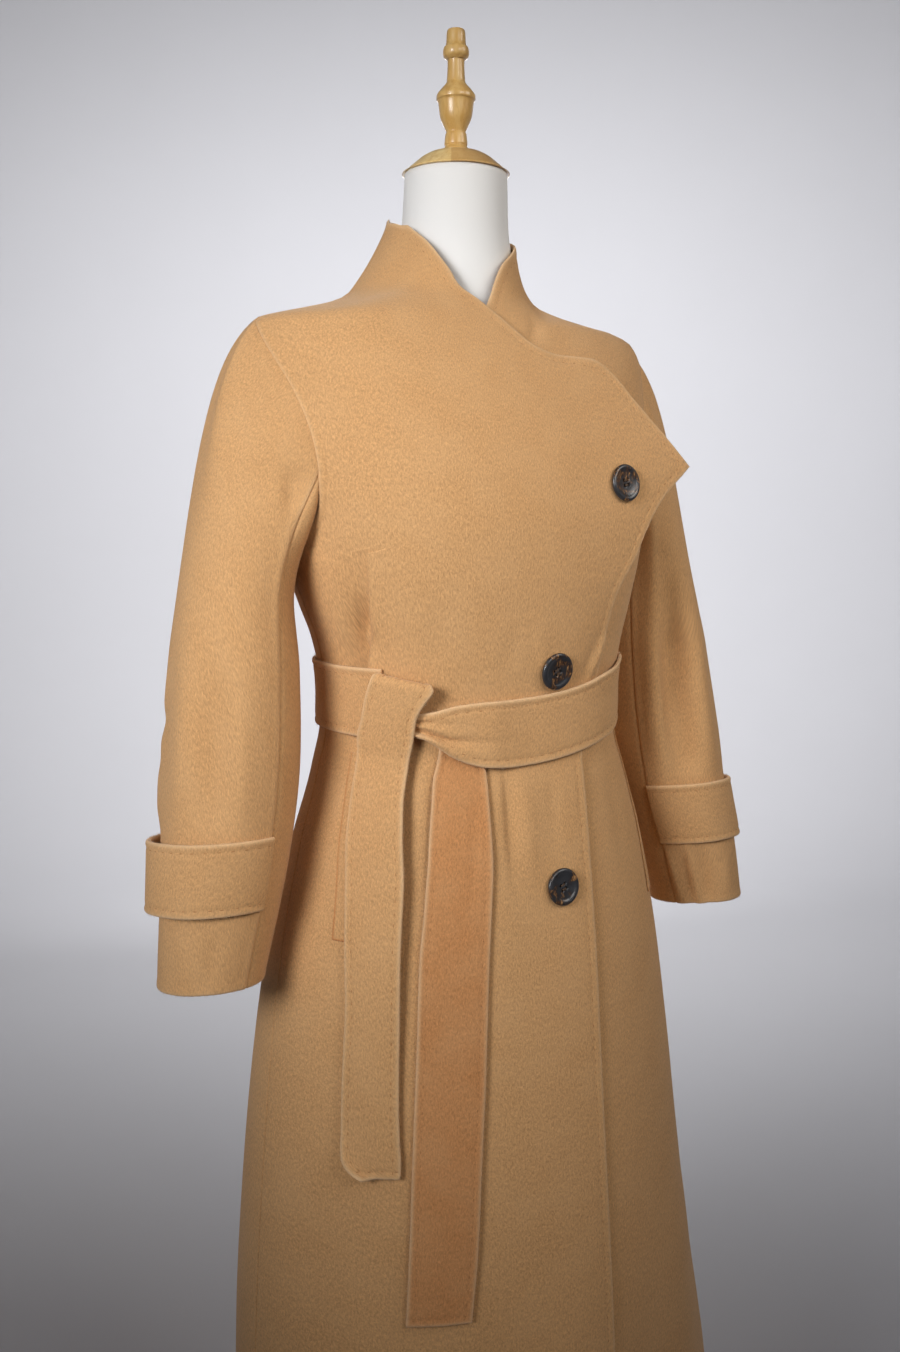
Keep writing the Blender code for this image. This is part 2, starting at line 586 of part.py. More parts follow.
def sleeve_ring(side, turn, height):
    """Point of the sleeve's tube: turn 0 is its front, 90 its outer side."""
    out, y, across, fore = [through(height, table(SLEEVE)[:, 0], table(SLEEVE)[:, k]) for k in range(1, 5)]
    if side > 0:
        turn = turn + through(height, table(LEFT_TWIST)[:, 0], table(LEFT_TWIST)[:, 1])
    angle = np.radians(turn)
    out = out + through(height, table(SWING)[:, 0], table(SWING)[:, 1 if side < 0 else 2])
    for hand, middle, level, wide, tall, depth in SLEEVE_FOLDS:
        if hand == side:
            off = (turn - middle + 180.0) % 360.0 - 180.0
            fold = depth * np.exp(-(off / wide) ** 2 - ((height - level) / tall) ** 2)
            fold = fold * ease((SLEEVE_JOIN - height) / 0.05) * ease((height - STRAP_TOP) / 0.03)
            across = across + fold
            fore = fore + fold
    x = side * (out + across * np.sin(angle))
    rise = SLEEVE_TILT * ease((SLEEVE_JOIN - height) / 0.15) * fore * np.cos(angle)
    return np.stack([x, y - fore * np.cos(angle), height + rise], -1)


def armhole_point(side, turn):
    """Angle on the body and height of the sleeve's sewn edge."""
    angle = np.radians(turn)
    low = np.maximum(-np.sin(angle), 0.0) ** 2
    forward = (ARMHOLE_FRONT - 0.15 - 0.55 * low) * (1.0 - ARMHOLE_SCOOP * np.sin(angle))
    spread = np.where(np.cos(angle) > 0, forward, ARMHOLE_BACK - 0.15)
    height = ARMHOLE_MIDDLE + (ARMHOLE_HALF - 0.0003 - 0.0004 * low) * np.sin(angle)
    return side * np.radians(SIDE - spread * np.cos(angle)), height


def sleeve_grid(side, turns):
    """Outer and inner grids of a sleeve, from the armhole over the cap and down to the hem."""
    turns = np.concatenate([[2 * turns[0] - turns[1]], turns, [2 * turns[-1] - turns[-2]]])
    fine = np.interp(np.arange((len(turns) - 1) * 6 + 1) / 6.0, np.arange(len(turns)), turns)
    angle, height = armhole_point(side, fine)
    start = body(angle, height)
    join = sleeve_ring(side, fine, np.full(len(fine), SLEEVE_JOIN))
    down = unit(sleeve_ring(side, fine, np.full(len(fine), SLEEVE_JOIN - 0.01)) - join)
    lean = np.radians(fine)
    away = unit(np.stack([side * (CAP_OUT[0] + CAP_OUT[1] * np.sin(lean)), -0.25 * np.cos(lean),
                          -(CAP_DOWN[0] + CAP_DOWN[1] * np.sin(lean))], -1))
    gap = np.linalg.norm(join - start, axis=-1)[:, None]
    rows = []
    cap = np.array(CAP_STEPS)
    cap = np.interp(np.arange((len(cap) - 1) * 6 + 1) / 6.0, np.arange(len(cap)), cap)
    for t in cap:
        h0 = (1 + 2 * t) * (1 - t) ** 2
        h1 = t * (1 - t) ** 2
        h2 = t * t * (3 - 2 * t)
        h3 = t * t * (t - 1)
        rows.append(h0 * start + h1 * CAP_REACH * gap * away + h2 * join + h3 * CAP_DROP * gap * down)
    levels = np.array((SLEEVE_JOIN,) + TUBE_STEPS)
    levels = np.interp(np.arange((len(levels) - 1) * 6 + 1) / 6.0, np.arange(len(levels)), levels)
    for level in levels[1:]:
        rows.append(sleeve_ring(side, fine, np.full(len(fine), level)))
    grid = np.stack(rows)
    across = np.gradient(grid, axis=1, edge_order=2)
    along = np.gradient(grid, axis=0, edge_order=2)
    out = unit(np.cross(along, across)) * side
    return grid[::6, 6:-6:6], out[::6, 6:-6:6]


def sleeve_turns(first, last):
    """Directions round the sleeve that meet the body's levels at the armhole."""
    rise = list(ARMHOLE_STEPS)
    loop = rise + [180.0 - k for k in reversed(rise[1:-1])]
    loop = sorted(loop + [k + 360.0 for k in loop])
    return [k for k in loop if first <= k <= last]


def strap_faces(side, turns):
    """Outer and inner grids of a strap: flat on the sleeve at its sewn ends and arched off it between."""
    turn, height = np.meshgrid(turns, np.linspace(STRAP_BOTTOM, STRAP_TOP, 3))
    ring = sleeve_ring(side, turn, height)
    round_it = np.gradient(ring, axis=1, edge_order=2)
    out = unit(np.cross(round_it, np.gradient(ring, axis=0, edge_order=2))) * side
    share = (turn - turns[0]) / (turns[-1] - turns[0])
    stand = SEAM + STRAP_STAND[side] * np.sin(np.pi * share) ** 1.5
    inner = ring + stand[..., None] * out
    return inner + BELT_CLOTH * out, inner


# Belt

def strip_faces(angle, height, stand, thick):
    """Both faces of a hanging strip whose middle stands off the coat."""
    middle = dressed(angle, height, stand)
    along = np.gradient(middle, axis=0)
    out = unit(np.cross(along, np.gradient(middle, axis=1)))
    return middle + thick / 2 * out, middle - thick / 2 * out


def belt_end_faces(rows, columns):
    """Both faces of a belt end from its table."""
    rows = table(rows)
    share = np.linspace(0.0, 1.0, columns)[None, :]
    angle = np.radians(rows[:, 1:2] + (rows[:, 2:3] - rows[:, 1:2]) * share)
    height = rows[:, 0:1] - rows[:, 4:5] * share
    return strip_faces(angle, height, rows[:, 3:4] + 0.0 * share, BELT_CLOTH)


def belt_faces():
    """Both faces of the belt round the waist."""
    rows = table(BELT)
    turn = np.linspace(rows[0, 0], rows[-1, 0], 1200)
    run = dressed(np.radians(turn), np.full(1200, 1.02), np.zeros(1200))
    run = np.concatenate([[0.0], np.cumsum(np.linalg.norm(np.diff(run, axis=0), axis=1))])
    turn = np.interp(np.linspace(0.0, run[-1], BELT_STEPS), run, turn)
    bottom, top, stand = [through(turn, rows[:, 0], rows[:, k]) for k in (1, 2, 3)]
    share = np.linspace(0.0, 1.0, 4)[:, None]
    height = bottom + (top - bottom) * share
    angle = np.radians(turn) + 0.0 * share
    stand = stand + 0.0 * share
    return dressed(angle, height, stand + BELT_CLOTH), dressed(angle, height, stand)


def knot_points(around, rings):
    """Rings of the rounded knot, with a single point at its top and bottom."""
    rise = np.radians(np.linspace(-90.0, 90.0, rings + 2))
    spin = np.radians(np.linspace(0.0, 360.0, around, endpoint=False))
    rise, spin = [k.ravel() for k in np.meshgrid(rise[1:-1], spin, indexing="ij")]
    rise = np.concatenate([[-np.pi / 2], rise, [np.pi / 2]])
    spin = np.concatenate([[0.0], spin, [0.0]])
    wide = np.cos(rise) ** 0.6
    across = np.sign(np.cos(spin)) * np.abs(np.cos(spin)) ** 0.7
    angle = np.radians(KNOT_ANGLE + KNOT_HALF_ANGLE * wide * across)
    stand = KNOT_STAND + KNOT_HALF_DEPTH * wide * np.sign(np.sin(spin)) * np.abs(np.sin(spin)) ** 0.7
    return dressed(angle, KNOT_HEIGHT + KNOT_HALF_HEIGHT * np.sin(rise), stand)


def ring_faces(around, rings, poles):
    """Faces of stacked rings, closed by poles or by flat ends."""
    first = 1 if poles else 0
    faces = []
    for r in range(rings - 1):
        for c in range(around):
            a = first + r * around + c
            b = first + r * around + (c + 1) % around
            faces.append((a, b, b + around, a + around))
    low = [first + c for c in range(around)]
    high = [first + (rings - 1) * around + c for c in range(around)]
    if not poles:
        return faces + [tuple(reversed(low)), tuple(high)]
    last = first + rings * around
    for c in range(around):
        d = (c + 1) % around
        faces.append((0, low[d], low[c]))
        faces.append((last, high[c], high[d]))
    return faces


# Buttons

def seat_button(name, height, x, turn, panel, material):
    """A dished button with four holes through it, resting on the panel where it is sewn."""
    at, facing, _, _ = panel.ray_cast(Vector((x, -1.0, height)), Vector((0.0, 1.0, 0.0)))
    facing = facing if facing.y < 0 else -facing
    frame = facing.to_track_quat("Z", "Y").to_matrix().to_4x4()
    lift = 0.0
    for radius in (0.0, 0.5 * BUTTON_RADIUS, BUTTON_RADIUS):
        for step in range(24):
            way = Matrix.Rotation(math.tau * step / 24, 3, "Z") @ Vector((radius, 0.0, 0.0))
            spot = frame.to_3x3() @ way
            found = panel.ray_cast(at + spot + 0.02 * facing, -facing)
            if found[0] is not None:
                lift = max(lift, 0.02 - found[3])
    button = turned(name, BUTTON_PROFILE, material, 24)
    cutter = bpy.data.meshes.new("holes")
    work = bmesh.new()
    for k in range(4):
        spin = math.radians(turn + 45.0 + 90.0 * k)
        place = Matrix.Translation((BUTTON_SPREAD * math.cos(spin), BUTTON_SPREAD * math.sin(spin), 0.002))
        bmesh.ops.create_cone(work, cap_ends=True, segments=8, radius1=BUTTON_HOLE, radius2=BUTTON_HOLE, depth=0.02,
                              matrix=place)
    work.to_mesh(cutter)
    work.free()
    holes = bpy.data.objects.new("holes", cutter)
    bpy.context.scene.collection.objects.link(holes)
    cut = button.modifiers.new("holes", "BOOLEAN")
    cut.object = holes
    cut.operation = "DIFFERENCE"
    cut.solver = "EXACT"
    shape = bpy.data.meshes.new_from_object(button.evaluated_get(bpy.context.evaluated_depsgraph_get()))
    button.modifiers.clear()
    button.data = shape
    bpy.data.objects.remove(holes, do_unlink=True)
    shape.transform(Matrix.Translation(at + (lift + SEAM) * facing) @ frame)
    return button


cloth = finish("coat_cloth", CAMEL, 0.95)
horn = finish("button_horn", HORN, 0.35)
jersey = finish("form_jersey", JERSEY, 0.8)
beech = finish("form_wood", BEECH, 0.35)

# Body of the coat: two fronts and two back halves, each with its part of the collar grown on
right_outer, right_inner = panel_faces(right_front_row, 16, CLOTH)
right_front = wall("right_front", right_outer, right_inner, cloth)
left_outer, left_inner = panel_faces(left_front_row, 12, CLOTH)
wall("left_front", left_outer, left_inner, cloth)
for word, row in (("left_back", left_back_row), ("right_back", right_back_row)):
    back_outer, back_inner = panel_faces(row, 8, CLOTH)
    wall(word, back_outer, back_inner, cloth)

# Sleeves: an upper and an under piece each, open at the armhole and the hem, with a strap on the upper
for side, word in ((-1.0, "right"), (1.0, "left")):
    front_seam, back_seam = SLEEVE_SEAMS[side]
    upper = sleeve_turns(front_seam, back_seam)
    under = sleeve_turns(back_seam, 360.0 + front_seam)
    for piece, turns in (("upper", upper), ("under", under)):
        turns = np.array(turns)
        turns[0] += SEAM_TURN
        turns[-1] -= SEAM_TURN
        grid, out = sleeve_grid(side, turns)
        wall(word + "_sleeve_" + piece, grid, grid - CLOTH * out, cloth)
        if piece == "upper":
            outer, inner = strap_faces(side, turns)
            wall(word + "_strap", outer, inner, cloth)

# Pocket welts on the fronts
for side, word in ((-1.0, "right"), (1.0, "left")):
    rows = table(WELT)
    share = np.linspace(0.0, 1.0, 3)[None, :]
    angle = side * np.radians(rows[:, 1:2] + (rows[:, 2:3] - rows[:, 1:2]) * share)
    height = rows[:, 0:1] + 0.0 * share
    low = dressed(angle, height, LAID + 0.0 * angle)
    high = dressed(angle, height, LAID + WELT_CLOTH + 0.0 * angle)
    wall(word + "_welt", high, low, cloth)

# Belt: round the waist, bunched in a half knot, and its two ends
outer, inner = belt_faces()
wall("belt_band", outer, inner, cloth)
solid_from("belt_knot", knot_points(16, 7), ring_faces(16, 7, True), cloth)
outer, inner = belt_end_faces(FRONT_END, 5)
wall("belt_end_front", outer, inner, cloth)
outer, inner = belt_end_faces(REAR_END, 5)
wall("belt_end_rear", outer, inner, cloth)

# Buttons on the right front
sewn_on = BVHTree.FromObject(right_front, bpy.context.evaluated_depsgraph_get())
for name, height, x, turn in BUTTONS:
    seat_button(name, height, x, turn, sewn_on, horn)

# Dress form and its stand
rows = table(FORM)
rows = np.column_stack([rows[:, :2], rows[:, 1:]])
angle, height = np.meshgrid(np.linspace(0.0, math.tau, FORM_SIDES, endpoint=False), rows[:, 0])
x, y = oval(rows, angle, height)
shape = np.stack([x, y, height], -1).reshape(-1, 3)
solid_from("form_torso", shape, ring_faces(FORM_SIDES, len(rows), False), jersey)
turned("neck_cap", NECK_CAP, beech)
turned("finial", FINIAL, beech)
bottom = BASE[-1][1] + SEAM
top = FORM[0][0] - SEAM
turned("pole", ((0.0, bottom), (POLE_RADIUS, bottom), (POLE_RADIUS, top), (0.0, top)), beech)
turned("base", BASE, beech)
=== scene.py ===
"""Looks of a wrap coat in doubled napped wool on a limbless dress form, in the frame of its solids.

Metres, +Z up. The coat faces -Y and +X is the wearer's left.
"""
import math

import bpy
import numpy as np
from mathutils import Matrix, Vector


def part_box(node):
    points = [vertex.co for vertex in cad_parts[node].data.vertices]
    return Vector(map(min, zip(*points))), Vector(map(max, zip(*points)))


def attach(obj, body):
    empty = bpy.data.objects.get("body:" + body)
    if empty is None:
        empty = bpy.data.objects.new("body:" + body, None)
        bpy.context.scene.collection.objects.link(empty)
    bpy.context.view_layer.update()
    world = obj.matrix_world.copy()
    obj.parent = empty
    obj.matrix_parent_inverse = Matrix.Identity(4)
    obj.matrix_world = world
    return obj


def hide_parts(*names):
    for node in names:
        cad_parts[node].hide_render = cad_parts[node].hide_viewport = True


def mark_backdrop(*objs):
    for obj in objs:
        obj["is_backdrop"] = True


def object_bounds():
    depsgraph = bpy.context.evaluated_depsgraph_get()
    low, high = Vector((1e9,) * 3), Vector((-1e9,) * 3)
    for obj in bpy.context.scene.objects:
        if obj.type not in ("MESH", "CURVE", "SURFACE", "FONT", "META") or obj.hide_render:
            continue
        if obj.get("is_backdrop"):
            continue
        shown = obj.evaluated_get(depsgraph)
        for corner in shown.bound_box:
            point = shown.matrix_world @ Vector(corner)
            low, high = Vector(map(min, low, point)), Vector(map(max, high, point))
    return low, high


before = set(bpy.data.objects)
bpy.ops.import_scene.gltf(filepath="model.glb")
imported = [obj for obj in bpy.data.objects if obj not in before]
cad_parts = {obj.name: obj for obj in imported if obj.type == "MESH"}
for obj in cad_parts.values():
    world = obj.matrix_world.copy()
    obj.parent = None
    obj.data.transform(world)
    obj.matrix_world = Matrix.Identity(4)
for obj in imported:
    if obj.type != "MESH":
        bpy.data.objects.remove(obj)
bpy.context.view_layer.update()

# Studio
# A plain pale floor that curves up into a wall all round, soft lights at the left, front and right, behind the coat
# and on the neck, two that light the wall, and a dim sky. The camera stands where the photograph's did.
FLOOR_REACH = 4.4
COVE_RADIUS = 1.5
WALL_TOP = 3.75
FLOOR_MIDDLE = 0.9       # radius of the flat disc in its middle
FLOOR_DROP = 0.0004      # how far the floor lies under the stand
FLOOR_STEPS = 96
FLOOR_COLOUR = (0.600, 0.600, 0.625, 1.0)
SKY_COLOUR = (1.0, 0.95, 0.92, 1.0)
SKY_STRENGTH = 0.10
# Lights: place, aim, size, beam in degrees, power and colour
LIGHTS = (
    ((-1.50, -0.80, 1.56), (-0.05, -0.06, 1.12), 0.75, 48.0, 2.52, (0.95, 0.965, 1.0)),
    ((1.20, -1.25, 2.15), (0.05, 0.00, 1.16), 0.90, 54.0, 1.15, (1.0, 0.955, 0.90)),
    ((0.20, -1.72, 1.95), (0.06, -0.05, 1.14), 0.90, 54.0, 1.2, (1.0, 0.965, 0.93)),
    ((-1.50, -0.80, 2.00), (0.00, 0.00, 1.56), 0.50, 22.0, 0.17, (1.0, 0.99, 0.97)),
    ((0.92, 1.78, 1.60), (0.00, 0.00, 1.12), 1.00, 60.0, 2.5, (1.0, 0.97, 0.94)),
    ((0.76, 1.46, 2.52), (2.29, 3.77, 0.69), 1.60, 165.0, 61.0, (0.99, 0.99, 1.0)),
    ((0.71, 1.29, 1.18), (1.63, 4.11, 2.36), 1.00, 163.0, 34.0, (0.99, 0.99, 1.0)),
)
CAMERA_TURN = math.radians(27.5)
CAMERA_PITCH = math.radians(7.75)
CAMERA_REACH = 1.2
CAMERA_HEIGHT = 1.205
CAMERA_ASIDE = 0.0055
FOCUS_PIXELS = 1240.0
PHOTO_HEIGHT = 1352.0
SENSOR = 36.0


def link(name, data):
    """A new object with this data, at the origin, in the scene."""
    thing = bpy.data.objects.new(name, data)
    bpy.context.scene.collection.objects.link(thing)
    return thing


def grid_quads(index, flip=False):
    """Quads between the neighbours in a grid of point numbers, turned round for a face that looks the other way."""
    quads = np.stack([index[:-1, :-1], index[:-1, 1:], index[1:, 1:], index[1:, :-1]], -1).reshape(-1, 4)
    return quads[:, ::-1] if flip else quads


def mesh_of(name, points, quads, tris=(), uv=None, **values):
    """An object from whole arrays: points, quads, triangles, a UV place for each point and named point values."""
    tris = np.asarray(tris, int).reshape(-1, 3)
    corners = np.concatenate([np.asarray(quads, int).ravel(), tris.ravel()])
    sizes = np.concatenate([np.full(len(quads), 4), np.full(len(tris), 3)])
    mesh = bpy.data.meshes.new(name)
    mesh.vertices.add(len(points))
    mesh.vertices.foreach_set("co", np.asarray(points, np.float32).ravel())
    mesh.loops.add(len(corners))
    mesh.loops.foreach_set("vertex_index", corners.astype(np.int32))
    mesh.polygons.add(len(sizes))
    mesh.polygons.foreach_set("loop_start", (np.cumsum(sizes) - sizes).astype(np.int32))
    mesh.polygons.foreach_set("use_smooth", np.ones(len(sizes), bool))
    mesh.update(calc_edges=True)
    if uv is not None:
        layer = mesh.uv_layers.new(name="cloth")
        layer.uv.foreach_set("vector", np.asarray(uv, np.float32)[corners].ravel())
    for word, value in values.items():
        field = mesh.attributes.new(word, "FLOAT", "POINT")
        field.data.foreach_set("value", np.asarray(value, np.float32).ravel())
    mesh.validate()
    return link(name, mesh)


def painter(name):
    """A new node material, a function that adds a node and gives its output, and one that fills the shader's inputs."""
    material = bpy.data.materials.new(name)
    material.use_nodes = True
    tree = material.node_tree

    def fill(made, inputs):
        for socket, value in inputs.items():
            if isinstance(value, bpy.types.NodeSocket):
                tree.links.new(value, made.inputs[socket])
            else:
                made.inputs[socket].default_value = value

    def node(kind, inputs=None, output=0, **settings):
        made = tree.nodes.new("ShaderNode" + kind)
        for word, value in settings.items():
            setattr(made, word, value)
        fill(made, inputs or {})
        return made.outputs[output]

    def shade(inputs):
        fill(tree.nodes["Principled BSDF"], inputs)

    return material, node, shade


def toned(colour, by):
    """A colour times a number: darker under one, lighter over it."""
    return tuple(by * k for k in colour[:3]) + (1.0,)


def speckled(name, first, second, scale, detail, finish):
    """A material that wanders between two colours by a noise of this scale, with the finish's shader values."""
    material, node, shade = painter(name)
    noise = node("TexNoise", {"Vector": node("TexCoord", output="Object"), "Scale": scale, "Detail": detail})
    shade({"Base Color": node("MixRGB", {"Fac": noise, "Color1": first, "Color2": second}), **finish})
    return material


bend = np.radians(np.linspace(-90.0, 0.0, 25))
cove = np.stack([FLOOR_REACH - COVE_RADIUS + COVE_RADIUS * np.cos(bend),
                 COVE_RADIUS * (1 + np.sin(bend)) - FLOOR_DROP], -1)
cove = np.vstack([[[0.0, -FLOOR_DROP], [FLOOR_MIDDLE, -FLOOR_DROP]], cove, [[FLOOR_REACH, WALL_TOP]]])
spin = np.linspace(0.0, math.tau, FLOOR_STEPS + 1)
points = np.stack([cove[:, 0:1] * np.cos(spin), cove[:, 0:1] * np.sin(spin), cove[:, 1:2] + 0.0 * spin], -1)
index = np.arange((len(cove) - 1) * len(spin)).reshape(-1, len(spin))
floor = mesh_of("studio_floor", points[1:].reshape(-1, 3), grid_quads(index, True))
around = np.arange(FLOOR_STEPS)
disc = mesh_of("studio_floor_middle", np.vstack([points[1], points[0, :1]]), (),
               np.stack([around, around + 1, np.full(FLOOR_STEPS, FLOOR_STEPS + 1)], -1))
plaster = speckled("studio_plaster", FLOOR_COLOUR, toned(FLOOR_COLOUR, 0.97), 3.0, 4.0, {"Roughness": 0.95})
for thing in (floor, disc):
    thing.data.materials.append(plaster)
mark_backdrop(floor, disc)

for k, (place, aim, size, beam, power, colour) in enumerate(LIGHTS):
    lamp = bpy.data.lights.new("studio_light_%d" % k, "AREA")
    lamp.shape = "DISK"
    lamp.size = size
    lamp.spread = math.radians(beam)
    lamp.energy = power
    lamp.color = colour
    thing = link(lamp.name, lamp)
    thing.visible_camera = False
    thing.location = place
    thing.rotation_euler = (Vector(aim) - Vector(place)).to_track_quat("-Z", "Y").to_euler()
sky = bpy.data.worlds.new("studio_sky")
sky.use_nodes = True
sky.node_tree.nodes["Background"].inputs["Color"].default_value = SKY_COLOUR
sky.node_tree.nodes["Background"].inputs["Strength"].default_value = SKY_STRENGTH
bpy.context.scene.world = sky
bpy.context.scene.view_settings.view_transform = "Standard"

lens = bpy.data.cameras.new("camera")
lens.sensor_width = SENSOR
lens.lens = FOCUS_PIXELS / PHOTO_HEIGHT * SENSOR
camera = link("camera", lens)
camera.location = (-CAMERA_REACH * math.sin(CAMERA_TURN) - CAMERA_ASIDE * math.cos(CAMERA_TURN),
                   -CAMERA_REACH * math.cos(CAMERA_TURN) + CAMERA_ASIDE * math.sin(CAMERA_TURN), CAMERA_HEIGHT)
looking = Vector((math.sin(CAMERA_TURN) * math.cos(CAMERA_PITCH), math.cos(CAMERA_TURN) * math.cos(CAMERA_PITCH),
                  -math.sin(CAMERA_PITCH)))
camera.rotation_euler = looking.to_track_quat("-Z", "Y").to_euler()
bpy.context.scene.camera = camera

# Right front
# The wearer's right front in doubled napped wool, cut in one with its half of the stand collar and a free pointed
# lapel. Its raw edges are turned in and pick-stitched by hand; it is sewn to the back at side, armhole and shoulder.
CLOTH = 0.0024
SEAM = 0.0003
WRAP = 0.0014            # between the two fronts where they cross
SIDE = 92.0              # degrees from the front to the seam over and under the armhole
CAMEL = (0.568, 0.316, 0.134, 1.0)
CAMEL_LIGHT = (0.700, 0.435, 0.215, 1.0)
# Colour that the tone attribute multiplies in: painted shade along the welts' free edges and feet, and a deeper colour
# on the knot and rear end.
CAMEL_DEEP = (0.820, 0.520, 0.350, 1.0)
# Colour the edges are made lighter towards: part wear, part a painted highlight where an edge catches the light.
CAMEL_RIM = (0.790, 0.560, 0.330, 1.0)
# Side seam: height and degrees from the front
SIDE_SEAM = ((0.200, 82.0), (0.606, 82.0), (0.710, 82.6), (0.802, 85.0), (0.892, 89.8), (0.970, 93.5),
             (1.020, 93.5), (1.100, SIDE), (1.500, SIDE))
# Body of the coat: height, half width to the right and left, y of its front, back and middle, fullness of the oval
BODY = (
    (0.200, 0.2440, 0.2720, -0.226, 0.186, -0.022, 2.00),
    (0.320, 0.2390, 0.2620, -0.218, 0.177, -0.022, 2.00),
    (0.450, 0.2350, 0.2470, -0.208, 0.165, -0.022, 2.00),
    (0.560, 0.2280, 0.2310, -0.197, 0.152, -0.022, 2.00),
    (0.700, 0.2140, 0.2150, -0.180, 0.136, -0.022, 2.00),
    (0.800, 0.1980, 0.1990, -0.168, 0.123, -0.022, 2.05),
    (0.900, 0.1720, 0.1760, -0.153, 0.107, -0.023, 2.10),
    (0.960, 0.1520, 0.1580, -0.143, 0.096, -0.023, 2.15),
    (1.000, 0.1425, 0.1470, -0.1365, 0.0905, -0.023, 2.20),
    (1.040, 0.1425, 0.1460, -0.1365, 0.0905, -0.023, 2.20),
    (1.081, 0.1490, 0.1520, -0.141, 0.095, -0.022, 2.20),
    (1.114, 0.1600, 0.1620, -0.145, 0.100, -0.020, 2.20),
    (1.147, 0.1710, 0.1720, -0.148, 0.104, -0.017, 2.20),
    (1.180, 0.1810, 0.1810, -0.149, 0.108, -0.014, 2.15),
    (1.230, 0.1930, 0.1930, -0.143, 0.111, -0.010, 2.10),
    (1.300, 0.1990, 0.1990, -0.121, 0.107, -0.003, 2.05),
    (1.345, 0.2025, 0.2010, -0.100, 0.096, 0.004, 2.00),
    (1.362, 0.2000, 0.1955, -0.090, 0.090, 0.006, 1.95),
    (1.370, 0.1914, 0.1800, -0.085, 0.087, 0.007, 1.95),
    (1.375, 0.1750, 0.1500, -0.082, 0.085, 0.010, 1.90),
    (1.380, 0.1550, 0.1200, -0.079, 0.084, 0.013, 1.90),
    (1.390, 0.1190, 0.0860, -0.073, 0.082, 0.018, 1.90),
    (1.399, 0.1000, 0.0740, -0.069, 0.082, 0.020, 2.00),
    (1.411, 0.0900, 0.0665, -0.066, 0.081, 0.019, 2.00),
    (1.4325, 0.0765, 0.0600, -0.062, 0.075, 0.015, 2.00),
    (1.464, 0.0620, 0.0560, -0.0585, 0.067, 0.010, 2.00),
    (1.480, 0.0580, 0.0552, -0.0575, 0.064, 0.009, 2.00),
)
BODY_MIDDLE = -0.022     # y of the upright line that folds and grain are taken from
BODY_RADIUS = 0.17       # usual distance of the cloth from it
# Waist: its height, how far up and down its dip reaches, and how much lower it sits at the front and at the left
WAIST = 1.02
WAIST_REACH = 0.075
WAIST_DIP = (0.010, 0.004)
# Strip that the belt presses flat: its height, half its width, and how far from it the large folds grow full
BELT_LEVEL = 1.025
BELT_HALF = 0.043
BELT_FADE = 0.03
CLIMB = (-60.0, 25.0)    # degrees where the right front begins to climb over the left one, and for how many
LAPEL_POINT = 18         # row of the level table at the lapel's point
LAPEL_TOP = 25.0         # and at the lapel's upper end
# Levels of the fronts: height at the side or armhole, then height and x of the right and of the left free edge
LEVELS = (
    (0.200, 0.200, 0.0580, 0.200, -0.055),
    (0.320, 0.320, 0.0572, 0.320, -0.055),
    (0.450, 0.450, 0.0567, 0.450, -0.055),
    (0.580, 0.580, 0.0567, 0.580, -0.055),
    (0.700, 0.700, 0.0575, 0.700, -0.056),
    (0.800, 0.800, 0.0583, 0.800, -0.057),
    (0.880, 0.880, 0.0588, 0.880, -0.058),
    (0.940, 0.940, 0.0595, 0.940, -0.059),
    (0.985, 0.985, 0.0602, 0.985, -0.060),
    (1.004, 1.004, 0.0640, 1.004, -0.0605),
    (1.022, 1.022, 0.0690, 1.022, -0.061),
    (1.045, 1.045, 0.0772, 1.045, -0.062),
    (1.070, 1.070, 0.0825, 1.070, -0.0645),
    (1.092, 1.092, 0.0855, 1.092, -0.066),
    (1.130, 1.126, 0.0935, 1.130, -0.070),
    (1.172, 1.160, 0.1155, 1.165, -0.073),
    (1.1836, 1.182, 0.1270, 1.1836, -0.074),
    (1.2074, 1.209, 0.1470, 1.2074, -0.075),
    (1.2339, 1.2426, 0.1890, 1.2339, -0.074),
    (1.2641, 1.270, 0.1613, 1.2641, -0.071),
    (1.295, 1.300, 0.1310, 1.295, -0.064),
    (1.322, 1.3255, 0.1075, 1.320, -0.055),
    (1.3434, 1.3352, 0.0905, 1.340, -0.045),
    (1.3584, 1.3372, 0.0730, 1.353, -0.037),
    (1.3671, 1.3383, 0.0500, 1.362, -0.030),
    (1.370, 1.3425, 0.0310, 1.366, -0.026),
    (1.3745, 1.349, 0.0188, 1.371, -0.021),
    (1.380, 1.357, 0.0104, 1.377, -0.016),
    (1.3855, 1.366, 0.0010, 1.384, -0.010),
    (1.391, 1.3755, -0.0090, 1.391, -0.004),
    (1.398, 1.3855, -0.0198, 1.399, 0.001),
    (1.409, 1.397, -0.0322, 1.410, 0.007),
    (1.425, 1.412, -0.0385, 1.4215, 0.0155),
    (1.442, 1.4265, -0.0464, 1.4325, 0.030),
    (1.455, 1.4425, -0.0538, 1.4435, 0.045),
    (1.464, 1.4565, -0.0591, 1.4525, 0.0555),
)
# Top of the collar, from its left seam round the back to its right one: degrees, and how much higher it runs
COLLAR_TOP = ((92.0, -0.0115), (130.0, -0.0020), (180.0, 0.0060), (243.0, 0.0065), (268.0, -0.0010))
COLLAR_FROM = 29.0       # level where that begins, and over how many it grows
COLLAR_OVER = 6.0
SAG = 0.014              # how much lower a level runs inside the lapel than at its edge, and how far in
SAG_WIDTH = 0.050
SAG_GROWS = (-60.0, 50.0)  # degrees where that begins round the body, and for how many it grows
PATH_END = 70.0          # degrees past every free edge that lies on the body
PATH_STEPS = 480
EDGE_SINES = (-0.999, 0.42)  # how far round the body the free edge's height is reached, at least and at most
LAPEL_REACH = 0.3        # metres past every free edge that leaves the body
LAPEL_STEPS = 900
LAPEL_RISE = (0.0, 0.4, 1.0)  # direction in which the lapel rises to its edge
